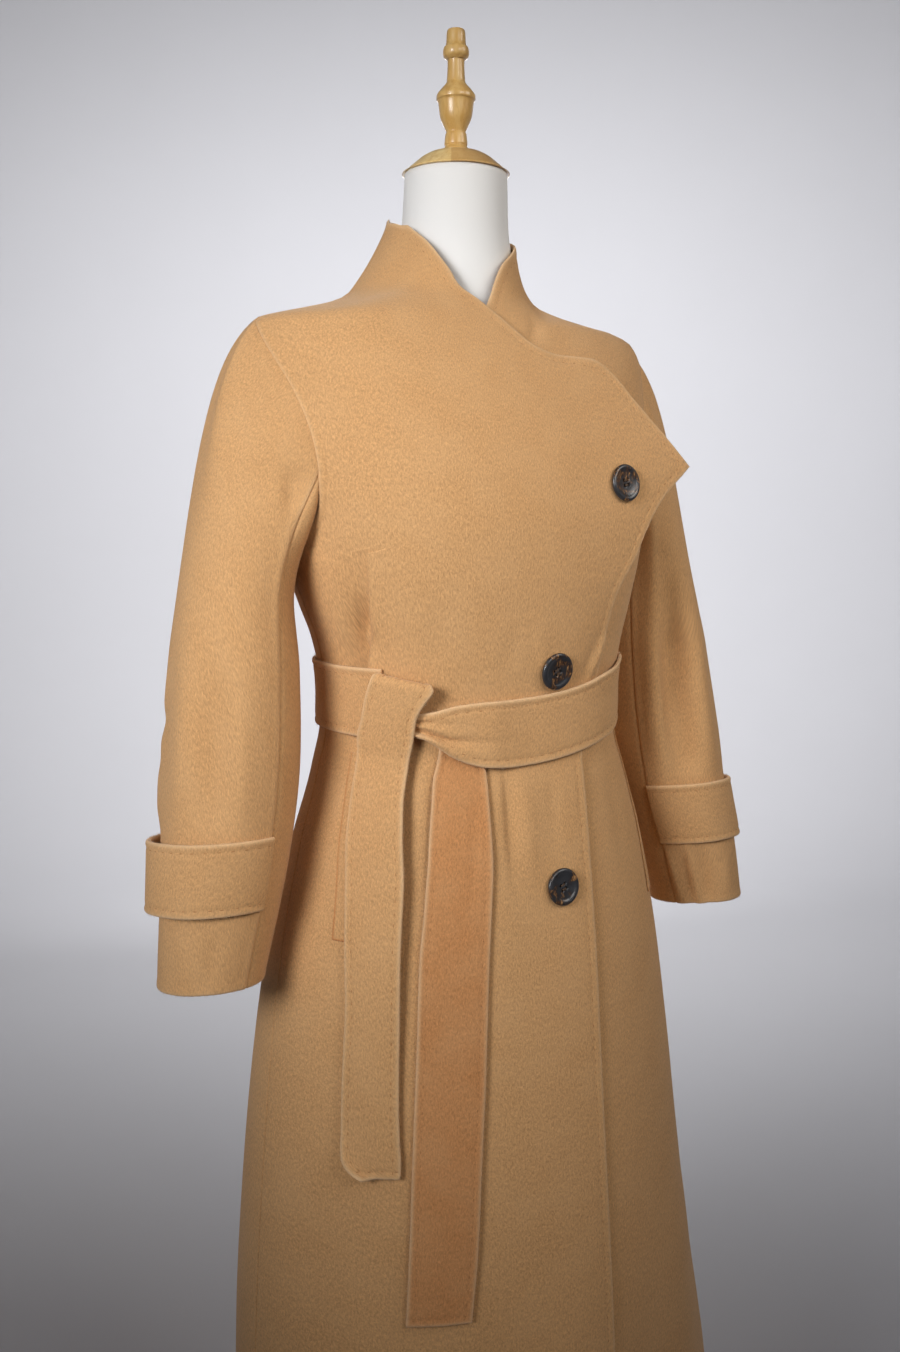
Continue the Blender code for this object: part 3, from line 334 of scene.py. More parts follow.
# Lapel: height, x where the right front leaves the body, and how fast it then bends back, for a metre
LAPEL = (
    (0.20, 0.300, 0.0),
    (1.03, 0.300, 0.0),
    (1.05, 0.120, 0.0),
    (1.09, 0.055, 4.0),
    (1.14, 0.042, 2.0),
    (1.243, 0.042, 0.6),
    (1.30, 0.042, 0.6),
    (1.36, 0.030, 1.5),
    (1.40, 0.100, 0.0),
    (1.48, 0.300, 0.0),
)
# Large folds of the body: middle angle and height, angle and height spread, depth (minus is a trough)
FOLDS = (
    (-58.0, 1.085, 4.0, 0.035, -0.0060),
    (-70.0, 1.080, 7.0, 0.040, 0.0050),
    (-22.0, 0.930, 4.0, 0.050, -0.0050),
    (-12.0, 0.900, 7.0, 0.090, 0.0040),
    (112.0, 1.090, 6.0, 0.035, 0.0050),
    (150.0, 1.090, 6.0, 0.040, -0.0050),
    (205.0, 1.095, 7.0, 0.040, 0.0050),
    (238.0, 0.900, 9.0, 0.080, -0.0050),
    (160.0, 0.890, 9.0, 0.090, 0.0050),
    (-50.0, 0.330, 15.0, 0.160, 0.0080),
    (28.0, 0.300, 14.0, 0.170, -0.0070),
    (75.0, 0.300, 14.0, 0.150, 0.0080),
    (128.0, 0.310, 16.0, 0.160, -0.0090),
    (178.0, 0.300, 16.0, 0.180, 0.0090),
    (226.0, 0.310, 15.0, 0.160, -0.0080),
)
# Armhole, an oval on the body round the side seam
ARMHOLE_MIDDLE = 1.271
ARMHOLE_HALF = 0.099
ARMHOLE_FRONT = 29.5     # degrees from the side to the armhole's front
ARMHOLE_SCOOP = 0.28     # how much further forward it is cut low down than high up
ARMHOLE_BACK = 25.0
ARMHOLE_EASE = 0.0004    # metres added to its half height, and degrees to its reach, for the seam
ARMHOLE_GAP = 0.25
ARMHOLE_EDGE = (1.168, 0.020, 1.360, 0.012)  # heights where its raised edge begins and ends, each with its fade
# Finer creases: from angle and height to angle and height, width, depth and lean to one side
FRONT_CREASES = (
    (-75.0, 0.985, -66.5, 0.832, 0.0085, 0.0024, 0.0),
    (-72.5, 0.985, -60.5, 1.145, 0.0130, -0.0165, 0.84),
    (-64.5, 1.045, -57.5, 1.130, 0.0050, 0.0014, 0.0),
    (30.0, 1.045, 39.0, 1.092, 0.0050, 0.0022, 0.3),
    (26.0, 1.048, 34.0, 1.090, 0.0060, -0.0016, 0.0),
    (-40.0, 1.062, -36.0, 1.130, 0.0120, -0.0010, 0.0),
    (-12.0, 1.060, -8.0, 1.110, 0.0100, -0.0008, 0.0),
    (6.0, 1.056, 2.0, 1.120, 0.0110, 0.0009, 0.0),
    (-76.0, 1.150, -66.0, 1.225, 0.0170, -0.0042, 0.3),
    (-38.0, 0.990, -37.0, 0.860, 0.0100, -0.0048, 0.0),
    (-12.0, 0.985, -11.0, 0.880, 0.0085, -0.0034, -0.4),
    (-4.0, 0.972, -3.0, 0.870, 0.0130, 0.0022, 0.0),
    (10.0, 0.975, 8.0, 0.900, 0.0090, -0.0010, 0.0),
    (-20.0, 0.520, -26.0, 0.260, 0.0300, -0.0030, 0.0),
    (4.0, 0.560, 6.0, 0.240, 0.0280, 0.0026, 0.0),
)
# Parts of a crease over which it grows from its start and dies to its end, and the depth that is left at both ends
CREASE_GROWS = 0.35
CREASE_DIES = 0.45
CREASE_LEFT = 0.25
ARC = 0.0026             # metres round the body for a degree
RIGHT_ROWS = 250
RIGHT_COLUMNS = 186
BORDER_STEPS = (0.0, 0.0003, 0.0007, 0.0014, 0.0024, 0.0038, 0.0056, 0.0074, 0.0086, 0.0098, 0.0120, 0.0155)
# Border finishes: rounding of the edge, raised rim, groove of the stitches and its place, and lighter edge, part wear
# and part painted highlight
EDGE = (0.0018, 0.0002, 0.0003, 0.0088, 1.0)
LAPPED = (0.0012, 0.0006, 0.0008, 0.0086, 0.8)
TURNED = (0.0020, 0.0003, 0.0, 0.0088, 0.6)
# In from a border: rise and fall of the rim, widths of the groove and of the lighter edge (wear and painted highlight),
# and what counts as near and far
RIM_RISE = 0.0022
RIM_FALL = 0.0030
GROOVE_WIDTH = 0.0016
WEAR_AND_HIGHLIGHT_WIDTH = 0.0024
BORDER_NEAR = 0.03
BORDER_FAR = 0.05


def table(rows):
    """The rows as an array."""
    return np.array(rows, float)


def through(at, xs, ys):
    """A smooth curve through the rows that never overshoots: cubics sloped by the harmonic mean of both steps."""
    xs = np.asarray(xs, float)
    ys = np.asarray(ys, float)
    at = np.asarray(at, float)
    step = np.diff(xs)
    rise = np.diff(ys) / step
    slope = np.zeros_like(ys)
    one = 2 * step[1:] + step[:-1]
    two = step[1:] + 2 * step[:-1]
    same = rise[:-1] * rise[1:] > 0
    safe = np.where(same, rise[:-1], 1.0)
    safe_next = np.where(same, rise[1:], 1.0)
    slope[1:-1] = np.where(same, (one + two) / (one / safe + two / safe_next), 0.0)
    slope[0] = rise[0]
    slope[-1] = rise[-1]
    k = np.clip(np.searchsorted(xs, at) - 1, 0, len(xs) - 2)
    t = (at - xs[k]) / step[k]
    near = ys[k] * (1 + 2 * t) + step[k] * slope[k] * t
    far = ys[k + 1] * (3 - 2 * t) - step[k] * slope[k + 1] * (1 - t)
    return near * (1 - t) ** 2 + far * t ** 2


def read(rows, at, column):
    """A table's column as a smooth curve of its first column."""
    rows = table(rows)
    return through(at, rows[:, 0], rows[:, column])


def ease(t):
    """Soft step from 0 to 1: three squares less two cubes."""
    t = np.clip(t, 0.0, 1.0)
    return t * t * (3 - 2 * t)


def unit(v):
    """Vectors made one long."""
    return v / np.linalg.norm(v, axis=-1, keepdims=True)


def pushed(t, power):
    """A number's size raised to a power, with its sign kept."""
    return np.sign(t) * np.abs(t) ** power


def waist_dip(angle, height):
    """How far the waist sits lower at the front than at the back, fading away from the belt."""
    near = np.exp(-((height - WAIST) / WAIST_REACH) ** 2)
    return near * (WAIST_DIP[0] * np.cos(angle) + WAIST_DIP[1] * np.sin(angle))


def fold_depth(angle, height):
    """Soft troughs and ridges of the cloth: a bell over angle and height for each row, none under the belt."""
    total = np.zeros(np.broadcast(angle, height).shape)
    for middle, level, wide, tall, depth in FOLDS:
        turn = (np.degrees(angle) - middle + 180.0) % 360.0 - 180.0
        total += depth * np.exp(-(turn / wide) ** 2 - ((height - level) / tall) ** 2)
    return total * ease((np.abs(height - BELT_LEVEL) - BELT_HALF) / BELT_FADE)


def oval(rows, angle, height):
    """Point of a section table, a squared oval: angle 0 is the front, plus turns to the wearer's left."""
    right, left, front, back, side, full = [read(rows, height, k) for k in range(1, 7)]
    c = np.cos(angle)
    s = np.sin(angle)
    x = np.where(s > 0, left, right) * pushed(s, 2.0 / full)
    y = side + np.where(c > 0, front - side, side - back) * pushed(c, 2.0 / full)
    return x, y


def body(angle, height, bridge=False):
    """Outer face of the coat's single cloth: its oval, grown by its folds. What lies on it bridges the troughs."""
    angle, height = np.broadcast_arrays(np.asarray(angle, float), np.asarray(height, float))
    x, y = oval(BODY, angle, height + waist_dip(angle, height))
    depth = fold_depth(angle, height)
    grow = 1.0 + (np.maximum(depth, 0.0) if bridge else depth) / BODY_RADIUS
    return np.stack([x * grow, BODY_MIDDLE + (y - BODY_MIDDLE) * grow, height], -1)


def body_normal(angle, height):
    """Outward direction of the coat's cloth: square to a small step round it and one up."""
    across = body(angle + 2e-3, height) - body(angle - 2e-3, height)
    up = body(angle, height + 2e-4) - body(angle, height - 2e-4)
    return unit(np.cross(across, up))


def overlap(angle):
    """Height of the right front above the single cloth: it climbs over the left front."""
    return (CLOTH + WRAP) * ease((np.degrees(angle) - CLIMB[0]) / CLIMB[1])


def armhole_angle(height, front):
    """Degrees from the front to the armhole's edge, or to the seam above and below it."""
    rise = np.clip((height - ARMHOLE_MIDDLE) / (ARMHOLE_HALF + ARMHOLE_EASE), -1.0, 1.0)
    open_by = np.sqrt(1.0 - rise ** 2)
    seam = np.interp(height, *table(SIDE_SEAM).T)
    if front:
        return seam - (ARMHOLE_FRONT + ARMHOLE_GAP) * open_by * (1.0 - ARMHOLE_SCOOP * rise)
    return seam + (ARMHOLE_BACK + ARMHOLE_GAP) * open_by


def level_curve(level, column, split):
    """Smooth curve through a column of the level table, in two pieces where it turns sharply at the lapel's point."""
    rows = table(LEVELS)[:, column]
    k = np.arange(len(rows))
    if not split:
        return through(level, k, rows)
    low = through(np.minimum(level, LAPEL_POINT), k[:LAPEL_POINT + 1], rows[:LAPEL_POINT + 1])
    high = through(np.maximum(level, LAPEL_POINT), k[LAPEL_POINT:], rows[LAPEL_POINT:])
    return np.where(level < LAPEL_POINT, low, high)


def spread_levels(count, columns, split):
    """Levels about as far apart along the side as along the free edge, close together at the hem and at the top."""
    fine = np.linspace(0.0, len(LEVELS) - 1.0, 6001)
    side, edge, x = [level_curve(fine, k, split and k > 0) for k in columns]
    step = np.maximum(np.abs(np.diff(side)), np.hypot(np.diff(edge), np.diff(x)))
    run = np.concatenate([[0.0], np.cumsum(step + 1e-7)])
    stop = np.interp(LAPEL_POINT if split else 0.6 * (len(LEVELS) - 1), fine, run)
    first = int(round(count * stop / run[-1]))
    border = np.array(BORDER_STEPS)
    want = np.concatenate([border[:-1], np.linspace(border[-1], stop, first),
                           np.linspace(stop, run[-1] - border[4], count - first)[1:], run[-1] - border[3::-1]])
    return np.interp(want, run, fine)


def columns_of(length, count, full=0.08):
    """Places along a level: close at both borders and even between, squeezed where it is shorter than full."""
    border = np.array(BORDER_STEPS) * min(1.0, length / full)
    middle = np.linspace(border[-1], length - border[-1], count - 2 * len(border) + 2)[1:-1]
    return np.concatenate([border, middle, length - border[::-1]])


def run_of(path):
    """Distance along a path to each of its points."""
    return np.concatenate([[0.0], np.cumsum(np.linalg.norm(np.diff(path, axis=0), axis=1))])


def places_on(path, run, at):
    """Points, straight between a path's own, at these distances along it."""
    return np.stack([np.interp(at, run, path[:, k]) for k in range(3)], -1)


def laid_out(path, trim_start, trim_end, count):
    """A level's points at its places along its path, less what is trimmed off at both ends."""
    run = run_of(path)
    return places_on(path, run, trim_start + columns_of(run[-1] - trim_start - trim_end, count))


def creased(rows, around, height, arc=ARC):
    """Soft troughs and ridges, each along a straight run, dying away across it and towards both ends."""
    total = np.zeros(np.broadcast(around, height).shape)
    for angle, low, end_angle, high, wide, depth, lean in rows:
        run_x, run_z = (end_angle - angle) * arc, high - low
        off_x = ((around - angle + 180.0) % 360.0 - 180.0) * arc
        off_z = height - low
        share = (off_x * run_x + off_z * run_z) / (run_x ** 2 + run_z ** 2)
        near = np.clip(share, 0.0, 1.0)
        gap = np.hypot(off_x - near * run_x, off_z - near * run_z)
        hand = np.sign(off_x * run_z - off_z * run_x) * np.sign(run_z)
        width = wide * (1.0 - lean * hand)
        along = ease(near / CREASE_GROWS) * ease((1.0 - near) / CREASE_DIES)
        total += depth * (CREASE_LEFT + (1.0 - CREASE_LEFT) * along) * np.exp(-(gap / width) ** 2)
    return total


def facing(grid, flip=1.0):
    """Outward direction at each point of a grid, from its steps across and up."""
    return unit(np.cross(np.gradient(grid, axis=1), np.gradient(grid, axis=0))) * flip


def reach(points, line, near):
    """Least distance from the points that are marked near to a line of points; the others count as far."""
    found = np.full(points.shape[:-1], BORDER_FAR)
    some = points[near]
    best = np.full(len(some), BORDER_FAR)
    for start, end in zip(line[:-1], line[1:]):
        run = end - start
        share = np.clip((some - start) @ run / max(run @ run, 1e-14), 0.0, 1.0)
        best = np.minimum(best, np.linalg.norm(some - start - share[:, None] * run, axis=-1))
    found[near] = best
    return found


def angles_of(grid):
    """Degrees round the body from the front, plus towards the wearer's left."""
    return np.degrees(np.arctan2(grid[..., 0], -(grid[..., 1] - BODY_MIDDLE)))


def creased_body(grid, rows):
    """A grid of the body moved out and in by its creases."""
    return grid + creased(rows, angles_of(grid), grid[..., 2])[..., None] * facing(grid)


def straight_grain(grid):
    """Places in the body's cloth for the nap, which runs straight down it: degrees round it, and height less radius."""
    turn = np.unwrap(angles_of(grid), period=360.0, axis=1)
    return ARC * turn, grid[..., 2] - np.hypot(grid[..., 0], grid[..., 1] - BODY_MIDDLE)


def cloth_shell(name, outer, thick, borders, flip=1.0, tone=0.0, grain=None):
    """Closed shell of cloth under an outer grid: two faces half its thickness off the middle, which meet at the border.

    borders holds the finish of the first and last column and of the first and last row, with an optional weight.
    grain holds the nap's places in the cloth, where they aren't the distances along and across the grid.
    """
    out = facing(outer, flip)
    middle = outer - 0.5 * thick * out
    rows, columns = outer.shape[:2]
    step_u = np.linalg.norm(np.diff(middle, axis=1), axis=-1)
    step_v = np.linalg.norm(np.diff(middle, axis=0), axis=-1)
    u = np.hstack([np.zeros((rows, 1)), np.cumsum(step_u, axis=1)])
    v = np.vstack([np.zeros((1, columns)), np.cumsum(step_v, axis=0)])
    from_border = (u, u[:, -1:] - u, v, v[-1:] - v)
    lines = (middle[:, 0], middle[:, -1], middle[0], middle[-1])
    half = np.full((rows, columns), 0.5 * thick)
    extra = np.zeros((rows, columns))
    worn = np.zeros((rows, columns))
    gaps = []
    for finish, line, gap in zip(borders, lines, from_border):
        finish, weight = finish if isinstance(finish[0], tuple) else (finish, 1.0)
        rounding, rim, groove, groove_at, light = finish
        d = reach(middle, line, gap < BORDER_NEAR)
        gaps.append(d)
        close = np.clip(d / rounding, 0.0, 1.0)
        half = half * np.sqrt(1.0 - (1.0 - close) ** 2)
        plateau = ease(d / RIM_RISE) * (1.0 - ease((d - groove_at + RIM_FALL) / RIM_FALL))
        extra += weight * (rim * plateau - groove * np.exp(-((d - groove_at) / GROOVE_WIDTH) ** 2))
        # Lighter edge: part wear, part a painted highlight where the edge catches the light.
        worn = np.maximum(worn, weight * light * np.exp(-(d / WEAR_AND_HIGHLIGHT_WIDTH) ** 2))
    half = half + extra
    half[0] = half[-1] = 0.0
    half[:, 0] = half[:, -1] = 0.0
    upper = middle + half[..., None] * out
    lower = middle - half[..., None] * out
    index = np.arange(rows * columns).reshape(rows, columns)
    under = index.copy()
    under[1:-1, 1:-1] = rows * columns + np.arange((rows - 2) * (columns - 2)).reshape(rows - 2, columns - 2)
    points = np.vstack([upper.reshape(-1, 3), lower[1:-1, 1:-1].reshape(-1, 3)])
    quads = np.vstack([grid_quads(index, flip < 0), grid_quads(under, flip > 0)])

    def both(field):
        return np.concatenate([field.ravel(), field[1:-1, 1:-1].ravel()])

    u, v = grain or (u, v)
    uv = np.stack([both(u), both(v)], -1)
    piece = mesh_of(name, points, quads, uv=uv, worn=both(worn), tone=both(tone + np.zeros((rows, columns))))
    return piece, upper, out, gaps


def napped_wool():
    """Camel wool with a brushed nap: mottling, streaks along the nap, fine fibres, edges lighter by wear and painted
    highlight, a deeper tone (painted shade at the welts) and soft sheen.
    """
    material, node, shade = painter("napped_wool")
    place = node("UVMap", uv_map="cloth")
    along = node("Mapping", {"Vector": place, "Scale": (1.0, 0.42, 1.0)})
    broad = node("TexNoise", {"Vector": place, "Scale": 22.0, "Detail": 3.0})
    streak = node("TexNoise", {"Vector": along, "Scale": 620.0, "Detail": 2.0, "Roughness": 0.6, "Distortion": 0.4})
    fibre = node("TexNoise", {"Vector": along, "Scale": 950.0, "Detail": 2.0, "Roughness": 0.65})
    nap = node("Math", {0: streak, 1: fibre}, operation="ADD")
    spread = node("MapRange", {"Value": nap, "From Min": 0.72, "From Max": 1.28})
    colour = node("MixRGB", {"Fac": spread, "Color1": toned(CAMEL, 0.77), "Color2": toned(CAMEL, 1.23)})
    # Deeper colour where the tone attribute asks: painted shade along the welts' edges, and a deeper colour on the knot
    # and rear end.
    tone = node("Attribute", output="Fac", attribute_name="tone")
    deeper = node("MixRGB", {"Fac": tone, "Color1": colour, "Color2": CAMEL_DEEP}, blend_type="MULTIPLY")
    patch = node("MapRange", {"Value": broad, "From Min": 0.35, "From Max": 0.65, "To Min": 0.0, "To Max": 0.16})
    mottled = node("MixRGB", {"Fac": patch, "Color1": deeper, "Color2": CAMEL_LIGHT})
    # Lighter edges: part wear, part a painted highlight where an edge catches the light.
    worn = node("Attribute", output="Fac", attribute_name="worn")
    edge = node("Math", {0: worn, 1: 0.55}, operation="MULTIPLY")
    rimmed = node("MixRGB", {"Fac": edge, "Color1": mottled, "Color2": CAMEL_RIM})
    bump = node("Bump", {"Height": nap, "Strength": 0.60, "Distance": 0.0008})
    shade({"Base Color": rimmed, "Normal": bump, "Roughness": 0.92, "Specular IOR Level": 0.18, "Sheen Weight": 0.28,
           "Sheen Roughness": 0.45, "Sheen Tint": (1.0, 0.88, 0.72, 1.0)})
    return material


def collar_lift(level, degrees):
    """How much higher or lower a level runs round the neck, fading away below the collar's top."""
    return ease((level - COLLAR_FROM) / COLLAR_OVER) * read(COLLAR_TOP, degrees, 1)


def sag(level, to_edge):
    """How much lower a level runs inside the lapel than at its free edge, so that it meets the edge at a slant."""
    reach_in = 1.0 - np.clip(1.0 - to_edge / SAG_WIDTH, 0.0, 1.0) ** 2
    return SAG * ease((level - LAPEL_POINT) / 2.0) * (1.0 - ease((level - LAPEL_TOP) / 4.0)) * reach_in


def right_front_path(level):
    """One level of the right front: round the body from the side, then off it as the lapel."""
    side, edge_height, edge_x = [float(level_curve(level, k, k > 0)) for k in (0, 1, 2)]
    start = -float(armhole_angle(side, True))
    side += float(collar_lift(level, COLLAR_TOP[-1][0]))
    angle = np.radians(np.linspace(start, PATH_END, PATH_STEPS))
    half = float(read(BODY, edge_height, 1))
    stop = math.degrees(math.asin(max(EDGE_SINES[0], min(EDGE_SINES[1], edge_x / half))))
    height = side + (edge_height - side) * ease((np.degrees(angle) - start) / (stop - start))
    grown = ease((np.degrees(angle) - SAG_GROWS[0]) / SAG_GROWS[1])
    height = height - sag(level, edge_x - half * np.sin(angle)) * grown
    path = body(angle, height) + overlap(angle)[:, None] * body_normal(angle, height)
    heights, leaves, bends = table(LAPEL).T
    leave = np.interp(edge_height, heights, leaves)
    bend = np.interp(edge_height, heights, bends) + 1e-6
    stop_x = min(edge_x, leave)
    k = int(np.argmax((angle > math.radians(-88.0)) & (path[:, 0] >= stop_x)))
    share = (stop_x - path[k - 1, 0]) / (path[k, 0] - path[k - 1, 0])
    path = np.vstack([path[:k], path[k - 1] + share * (path[k] - path[k - 1])])
    if edge_x > leave:
        along = unit((path[-1] - path[-3]) * (1.0, 1.0, 0.0))
        inward = np.array([-along[1], along[0], 0.0])
        run = np.linspace(0.0, LAPEL_REACH, LAPEL_STEPS)[1:, None]
        tail = path[-1] + np.sin(bend * run) / bend * along + (1 - np.cos(bend * run)) / bend * inward
        rise = sag(level, edge_x - path[-1, 0]) - sag(level, edge_x - tail[:, 0])
        tail += rise[:, None] * LAPEL_RISE
        k = int(np.argmax(tail[:, 0] >= edge_x))
        path = np.vstack([path, tail[:k + 1]])
    return path


def armhole_weight(grid):
    """One beside the armhole, nothing at the side and shoulder seams."""
    foot, foot_fade, top, top_fade = ARMHOLE_EDGE
    return ease((grid[..., 2] - foot) / foot_fade) * (1.0 - ease((grid[..., 2] - top) / top_fade))


def fit(piece, material, node=None):
    """Finish a piece: its material, its body, and the solid that it stands for, which it hides."""
    piece.data.materials.append(material)
    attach(piece, "root")
    if node:
        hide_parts(node)


def dress(piece, node, flat, area):
    """Fit a cloth piece in the wool; flat and area, what it was cut to, are not used."""
    fit(piece, wool, node)


wool = napped_wool()
levels = spread_levels(RIGHT_ROWS, (0, 1, 2), True)
grid = np.stack([laid_out(right_front_path(k), SEAM / 2, 0.0, RIGHT_COLUMNS) for k in levels])
grid = creased_body(grid, FRONT_CREASES)
right_front = cloth_shell("coat_right_front", grid, CLOTH, ((LAPPED, armhole_weight(grid)), EDGE, TURNED, EDGE),
                          grain=straight_grain(grid))
dress(right_front[0], "right_front", (0.42, 1.47), 0.42)

# Left front
# The wearer's left front, of the same cloth with its half of the collar, wraps under the right one. Only its collar,
# a strip beside the right front's edge and its side show when the coat is closed.
LEFT_ROWS = 210
LEFT_COLUMNS = 74
LEFT_CREASES = (
    (-12.0, 0.985, -11.0, 0.880, 0.0085, -0.0034, -0.4),
    (72.0, 1.392, 30.0, 1.370, 0.0060, -0.0032, 0.0),
    (36.0, 1.373, 12.0, 1.343, 0.0060, -0.0028, 0.0),
    (75.0, 1.070, 70.0, 1.150, 0.0120, -0.0025, 0.0),
    (45.0, 0.970, 46.0, 0.860, 0.0100, -0.0012, 0.0),
    (70.0, 1.180, 58.0, 1.235, 0.0140, -0.0016, 0.0),
    (52.0, 0.560, 48.0, 0.250, 0.0300, 0.0030, 0.0),
    (72.0, 0.520, 78.0, 0.250, 0.0260, -0.0026, 0.0),
)


def left_front_path(level):
    """One level of the left front, from its free edge under the right front round to the side."""
    side, edge_height, edge_x = [float(level_curve(level, k, False)) for k in (0, 3, 4)]
    last = float(armhole_angle(side, True))
    side += float(collar_lift(level, COLLAR_TOP[0][0]))
    half = float(read(BODY, edge_height, 1 if edge_x < 0 else 2))
    start = math.degrees(math.asin(max(-0.98, min(0.995, edge_x / half))))
    angle = np.radians(np.linspace(start, last, 360))
    height = side + (edge_height - side) * ease((last - np.degrees(angle)) / (last - start))
    return body(angle, height)


levels = spread_levels(LEFT_ROWS, (0, 3, 4), False)
grid = np.stack([laid_out(left_front_path(k), 0.0, SEAM / 2, LEFT_COLUMNS) for k in levels])
grid = creased_body(grid, LEFT_CREASES)
left_front = cloth_shell("coat_left_front", grid, CLOTH, (EDGE, (LAPPED, armhole_weight(grid)), TURNED, EDGE),
                         grain=straight_grain(grid))
dress(left_front[0], "left_front", (0.41, 1.44), 0.406)

# Back
# Two back halves with their parts of the collar, seamed down the middle and to the fronts at side and shoulder.
# The cloth gathers a little above the belt and falls in soft flutes below it.
BACK_ROWS = 210
BACK_COLUMNS = 62
SEWN = (0.0005, 0.0, 0.0, 0.0088, 0.1)
BACK_CREASES = (
    (112.0, 1.072, 118.0, 1.145, 0.0120, -0.0020, 0.0),
    (140.0, 1.072, 137.0, 1.130, 0.0110, 0.0016, 0.0),
    (168.0, 1.070, 165.0, 1.150, 0.0120, -0.0022, 0.0),
    (196.0, 1.070, 199.0, 1.140, 0.0120, 0.0016, 0.0),
    (217.0, 1.070, 222.0, 1.155, 0.0130, -0.0022, 0.0),
    (245.0, 1.070, 240.0, 1.130, 0.0110, 0.0018, 0.0),
    (135.0, 0.985, 132.0, 0.870, 0.0110, -0.0020, 0.0),
    (172.0, 0.980, 170.0, 0.860, 0.0110, 0.0016, 0.0),
    (206.0, 0.985, 209.0, 0.865, 0.0120, -0.0020, 0.0),
    (232.0, 0.985, 236.0, 0.880, 0.0110, 0.0014, 0.0),
    (148.0, 1.200, 168.0, 1.265, 0.0160, -0.0016, 0.2),
    (211.0, 1.205, 192.0, 1.260, 0.0150, -0.0014, 0.2),
    (125.0, 0.560, 120.0, 0.240, 0.0300, 0.0030, 0.0),
    (155.0, 0.520, 150.0, 0.240, 0.0300, -0.0030, 0.0),
    (202.0, 0.560, 206.0, 0.250, 0.0280, -0.0030, 0.0),
    (238.0, 0.520, 243.0, 0.240, 0.0300, 0.0028, 0.0),
)


def back_path(level, first, last):
    """One level of the back between two seams: 1 is the left side seam, 0 the middle of the back, -1 the right."""
    side = float(level_curve(level, 0, False))
    spread = 180.0 - float(armhole_angle(side, False))
    angle = np.radians(np.linspace(180.0 - first * spread, 180.0 - last * spread, 300))
    return body(angle, side + collar_lift(level, np.degrees(angle)))


levels = spread_levels(BACK_ROWS, (0, 0, 0), False)
backs = []
for word, first, last in (("left", 1.0, 0.0), ("right", 0.0, -1.0)):
    grid = np.stack([laid_out(back_path(k, first, last), SEAM / 2, SEAM / 2, BACK_COLUMNS) for k in levels])
    grid = creased_body(grid, BACK_CREASES)
    beside = (LAPPED, armhole_weight(grid))
    seams = (beside, SEWN) if word == "left" else (SEWN, beside)
    shell = cloth_shell("coat_%s_back" % word, grid, CLOTH, seams + (TURNED, EDGE), grain=straight_grain(grid))
    backs.append(shell)
    dress(shell[0], word + "_back", (0.41, 1.40), 0.354)

# Sleeves
# Two-piece sleeves set into the armholes, each an upper and an under piece seamed at front and back, with the cuff
# hem turned in. They hang empty, so the cloth drops in soft lengthwise folds and breaks a little at the elbow.
SIDES = ((-1.0, "right"), (1.0, "left"))
# Tube of a sleeve: height, how far out its middle is, y of its middle, half its width and half its depth
SLEEVE = (
    (0.780, 0.2690, -0.038, 0.0450, 0.0490),
    (0.830, 0.2620, -0.034, 0.0500, 0.0530),
    (0.900, 0.2510, -0.027, 0.0560, 0.0610),
    (0.980, 0.2410, -0.018, 0.0600, 0.0680),
    (1.060, 0.2330, -0.010, 0.0570, 0.0690),
    (1.120, 0.2270, -0.004, 0.0500, 0.0660),
    (1.160, 0.2220, -0.001, 0.0460, 0.0640),
)
# How much further out or in each sleeve hangs: height, then right and left
SWING = ((0.790, -0.0045, 0.0050), (0.860, -0.0070, -0.0010), (0.930, -0.0075, -0.0095),
         (1.060, -0.0055, -0.0115), (1.160, -0.0030, -0.0115))
# Large folds of the sleeves: side, turn round the sleeve, height, spreads and depth (minus is a trough)
SLEEVE_FOLDS = (
    (1.0, -14.0, 1.010, 17.0, 0.120, -0.0070),
    (1.0, -38.0, 1.030, 12.0, 0.140, 0.0030),
    (1.0, 150.0, 0.990, 18.0, 0.060, -0.0060),
    (1.0, 115.0, 0.950, 18.0, 0.070, 0.0040),
    (-1.0, 36.0, 0.990, 17.0, 0.080, -0.0040),
    (-1.0, 145.0, 1.010, 18.0, 0.060, -0.0060),
    (-1.0, 120.0, 0.950, 18.0, 0.070, 0.0040),
)
FOLD_FADES = (0.05, 0.03)  # heights over which these folds fade under the cap and over the strap
SLEEVE_TILT = 0.14       # how much the tube's level rings rise to the front, and the height over which that grows
TILT_GROWS = 0.15
CAP_OUT = (0.55, 0.30)   # how the cap leaves the armhole: sideways and down, each with its change to the top
CAP_DOWN = (0.80, -0.12)
CAP_FORWARD = -0.25
CAP_REACH = 0.60
CAP_DROP = 1.30
CAP_LENGTH = 0.2
SLEEVE_HEM = 0.791
SLEEVE_JOIN = 1.110      # height where the cap has become a tube
# Front and back seams, degrees round each sleeve from its front: the left sleeve hangs turned inwards
SLEEVE_SEAMS = {-1.0: (-22.0, 202.0), 1.0: (-62.0, 166.0)}
# How much further the left sleeve's seams turn to the front higher up: height and degrees
LEFT_TWIST = ((0.790, -3.0), (0.850, 0.0), (0.930, 3.0), (1.050, 6.0), (1.160, 9.0))
SEAM_TURN = 0.24         # half the gap at these seams, in degrees
STRAP_TOP = 0.920        # the large folds end above the straps
SLEEVE_ARC = 0.00105     # metres round a sleeve for a degree
SLEEVE_ROWS = (60, 84)   # over the cap, and down the tube
UPPER_COLUMNS = 78
UNDER_COLUMNS = 52
RIDGED = (0.0010, 0.0004, 0.0, 0.0070, 0.5)
TUCK = 0.0022            # how far the sleeve lies under the armhole's edge, and how deep
TUCK_DEPTH = 0.0014
TUCK_WIDTH = 0.006       # over which the under sleeve dips under the upper one, and degrees by which it goes on
UNDER_TUCK = 1.6
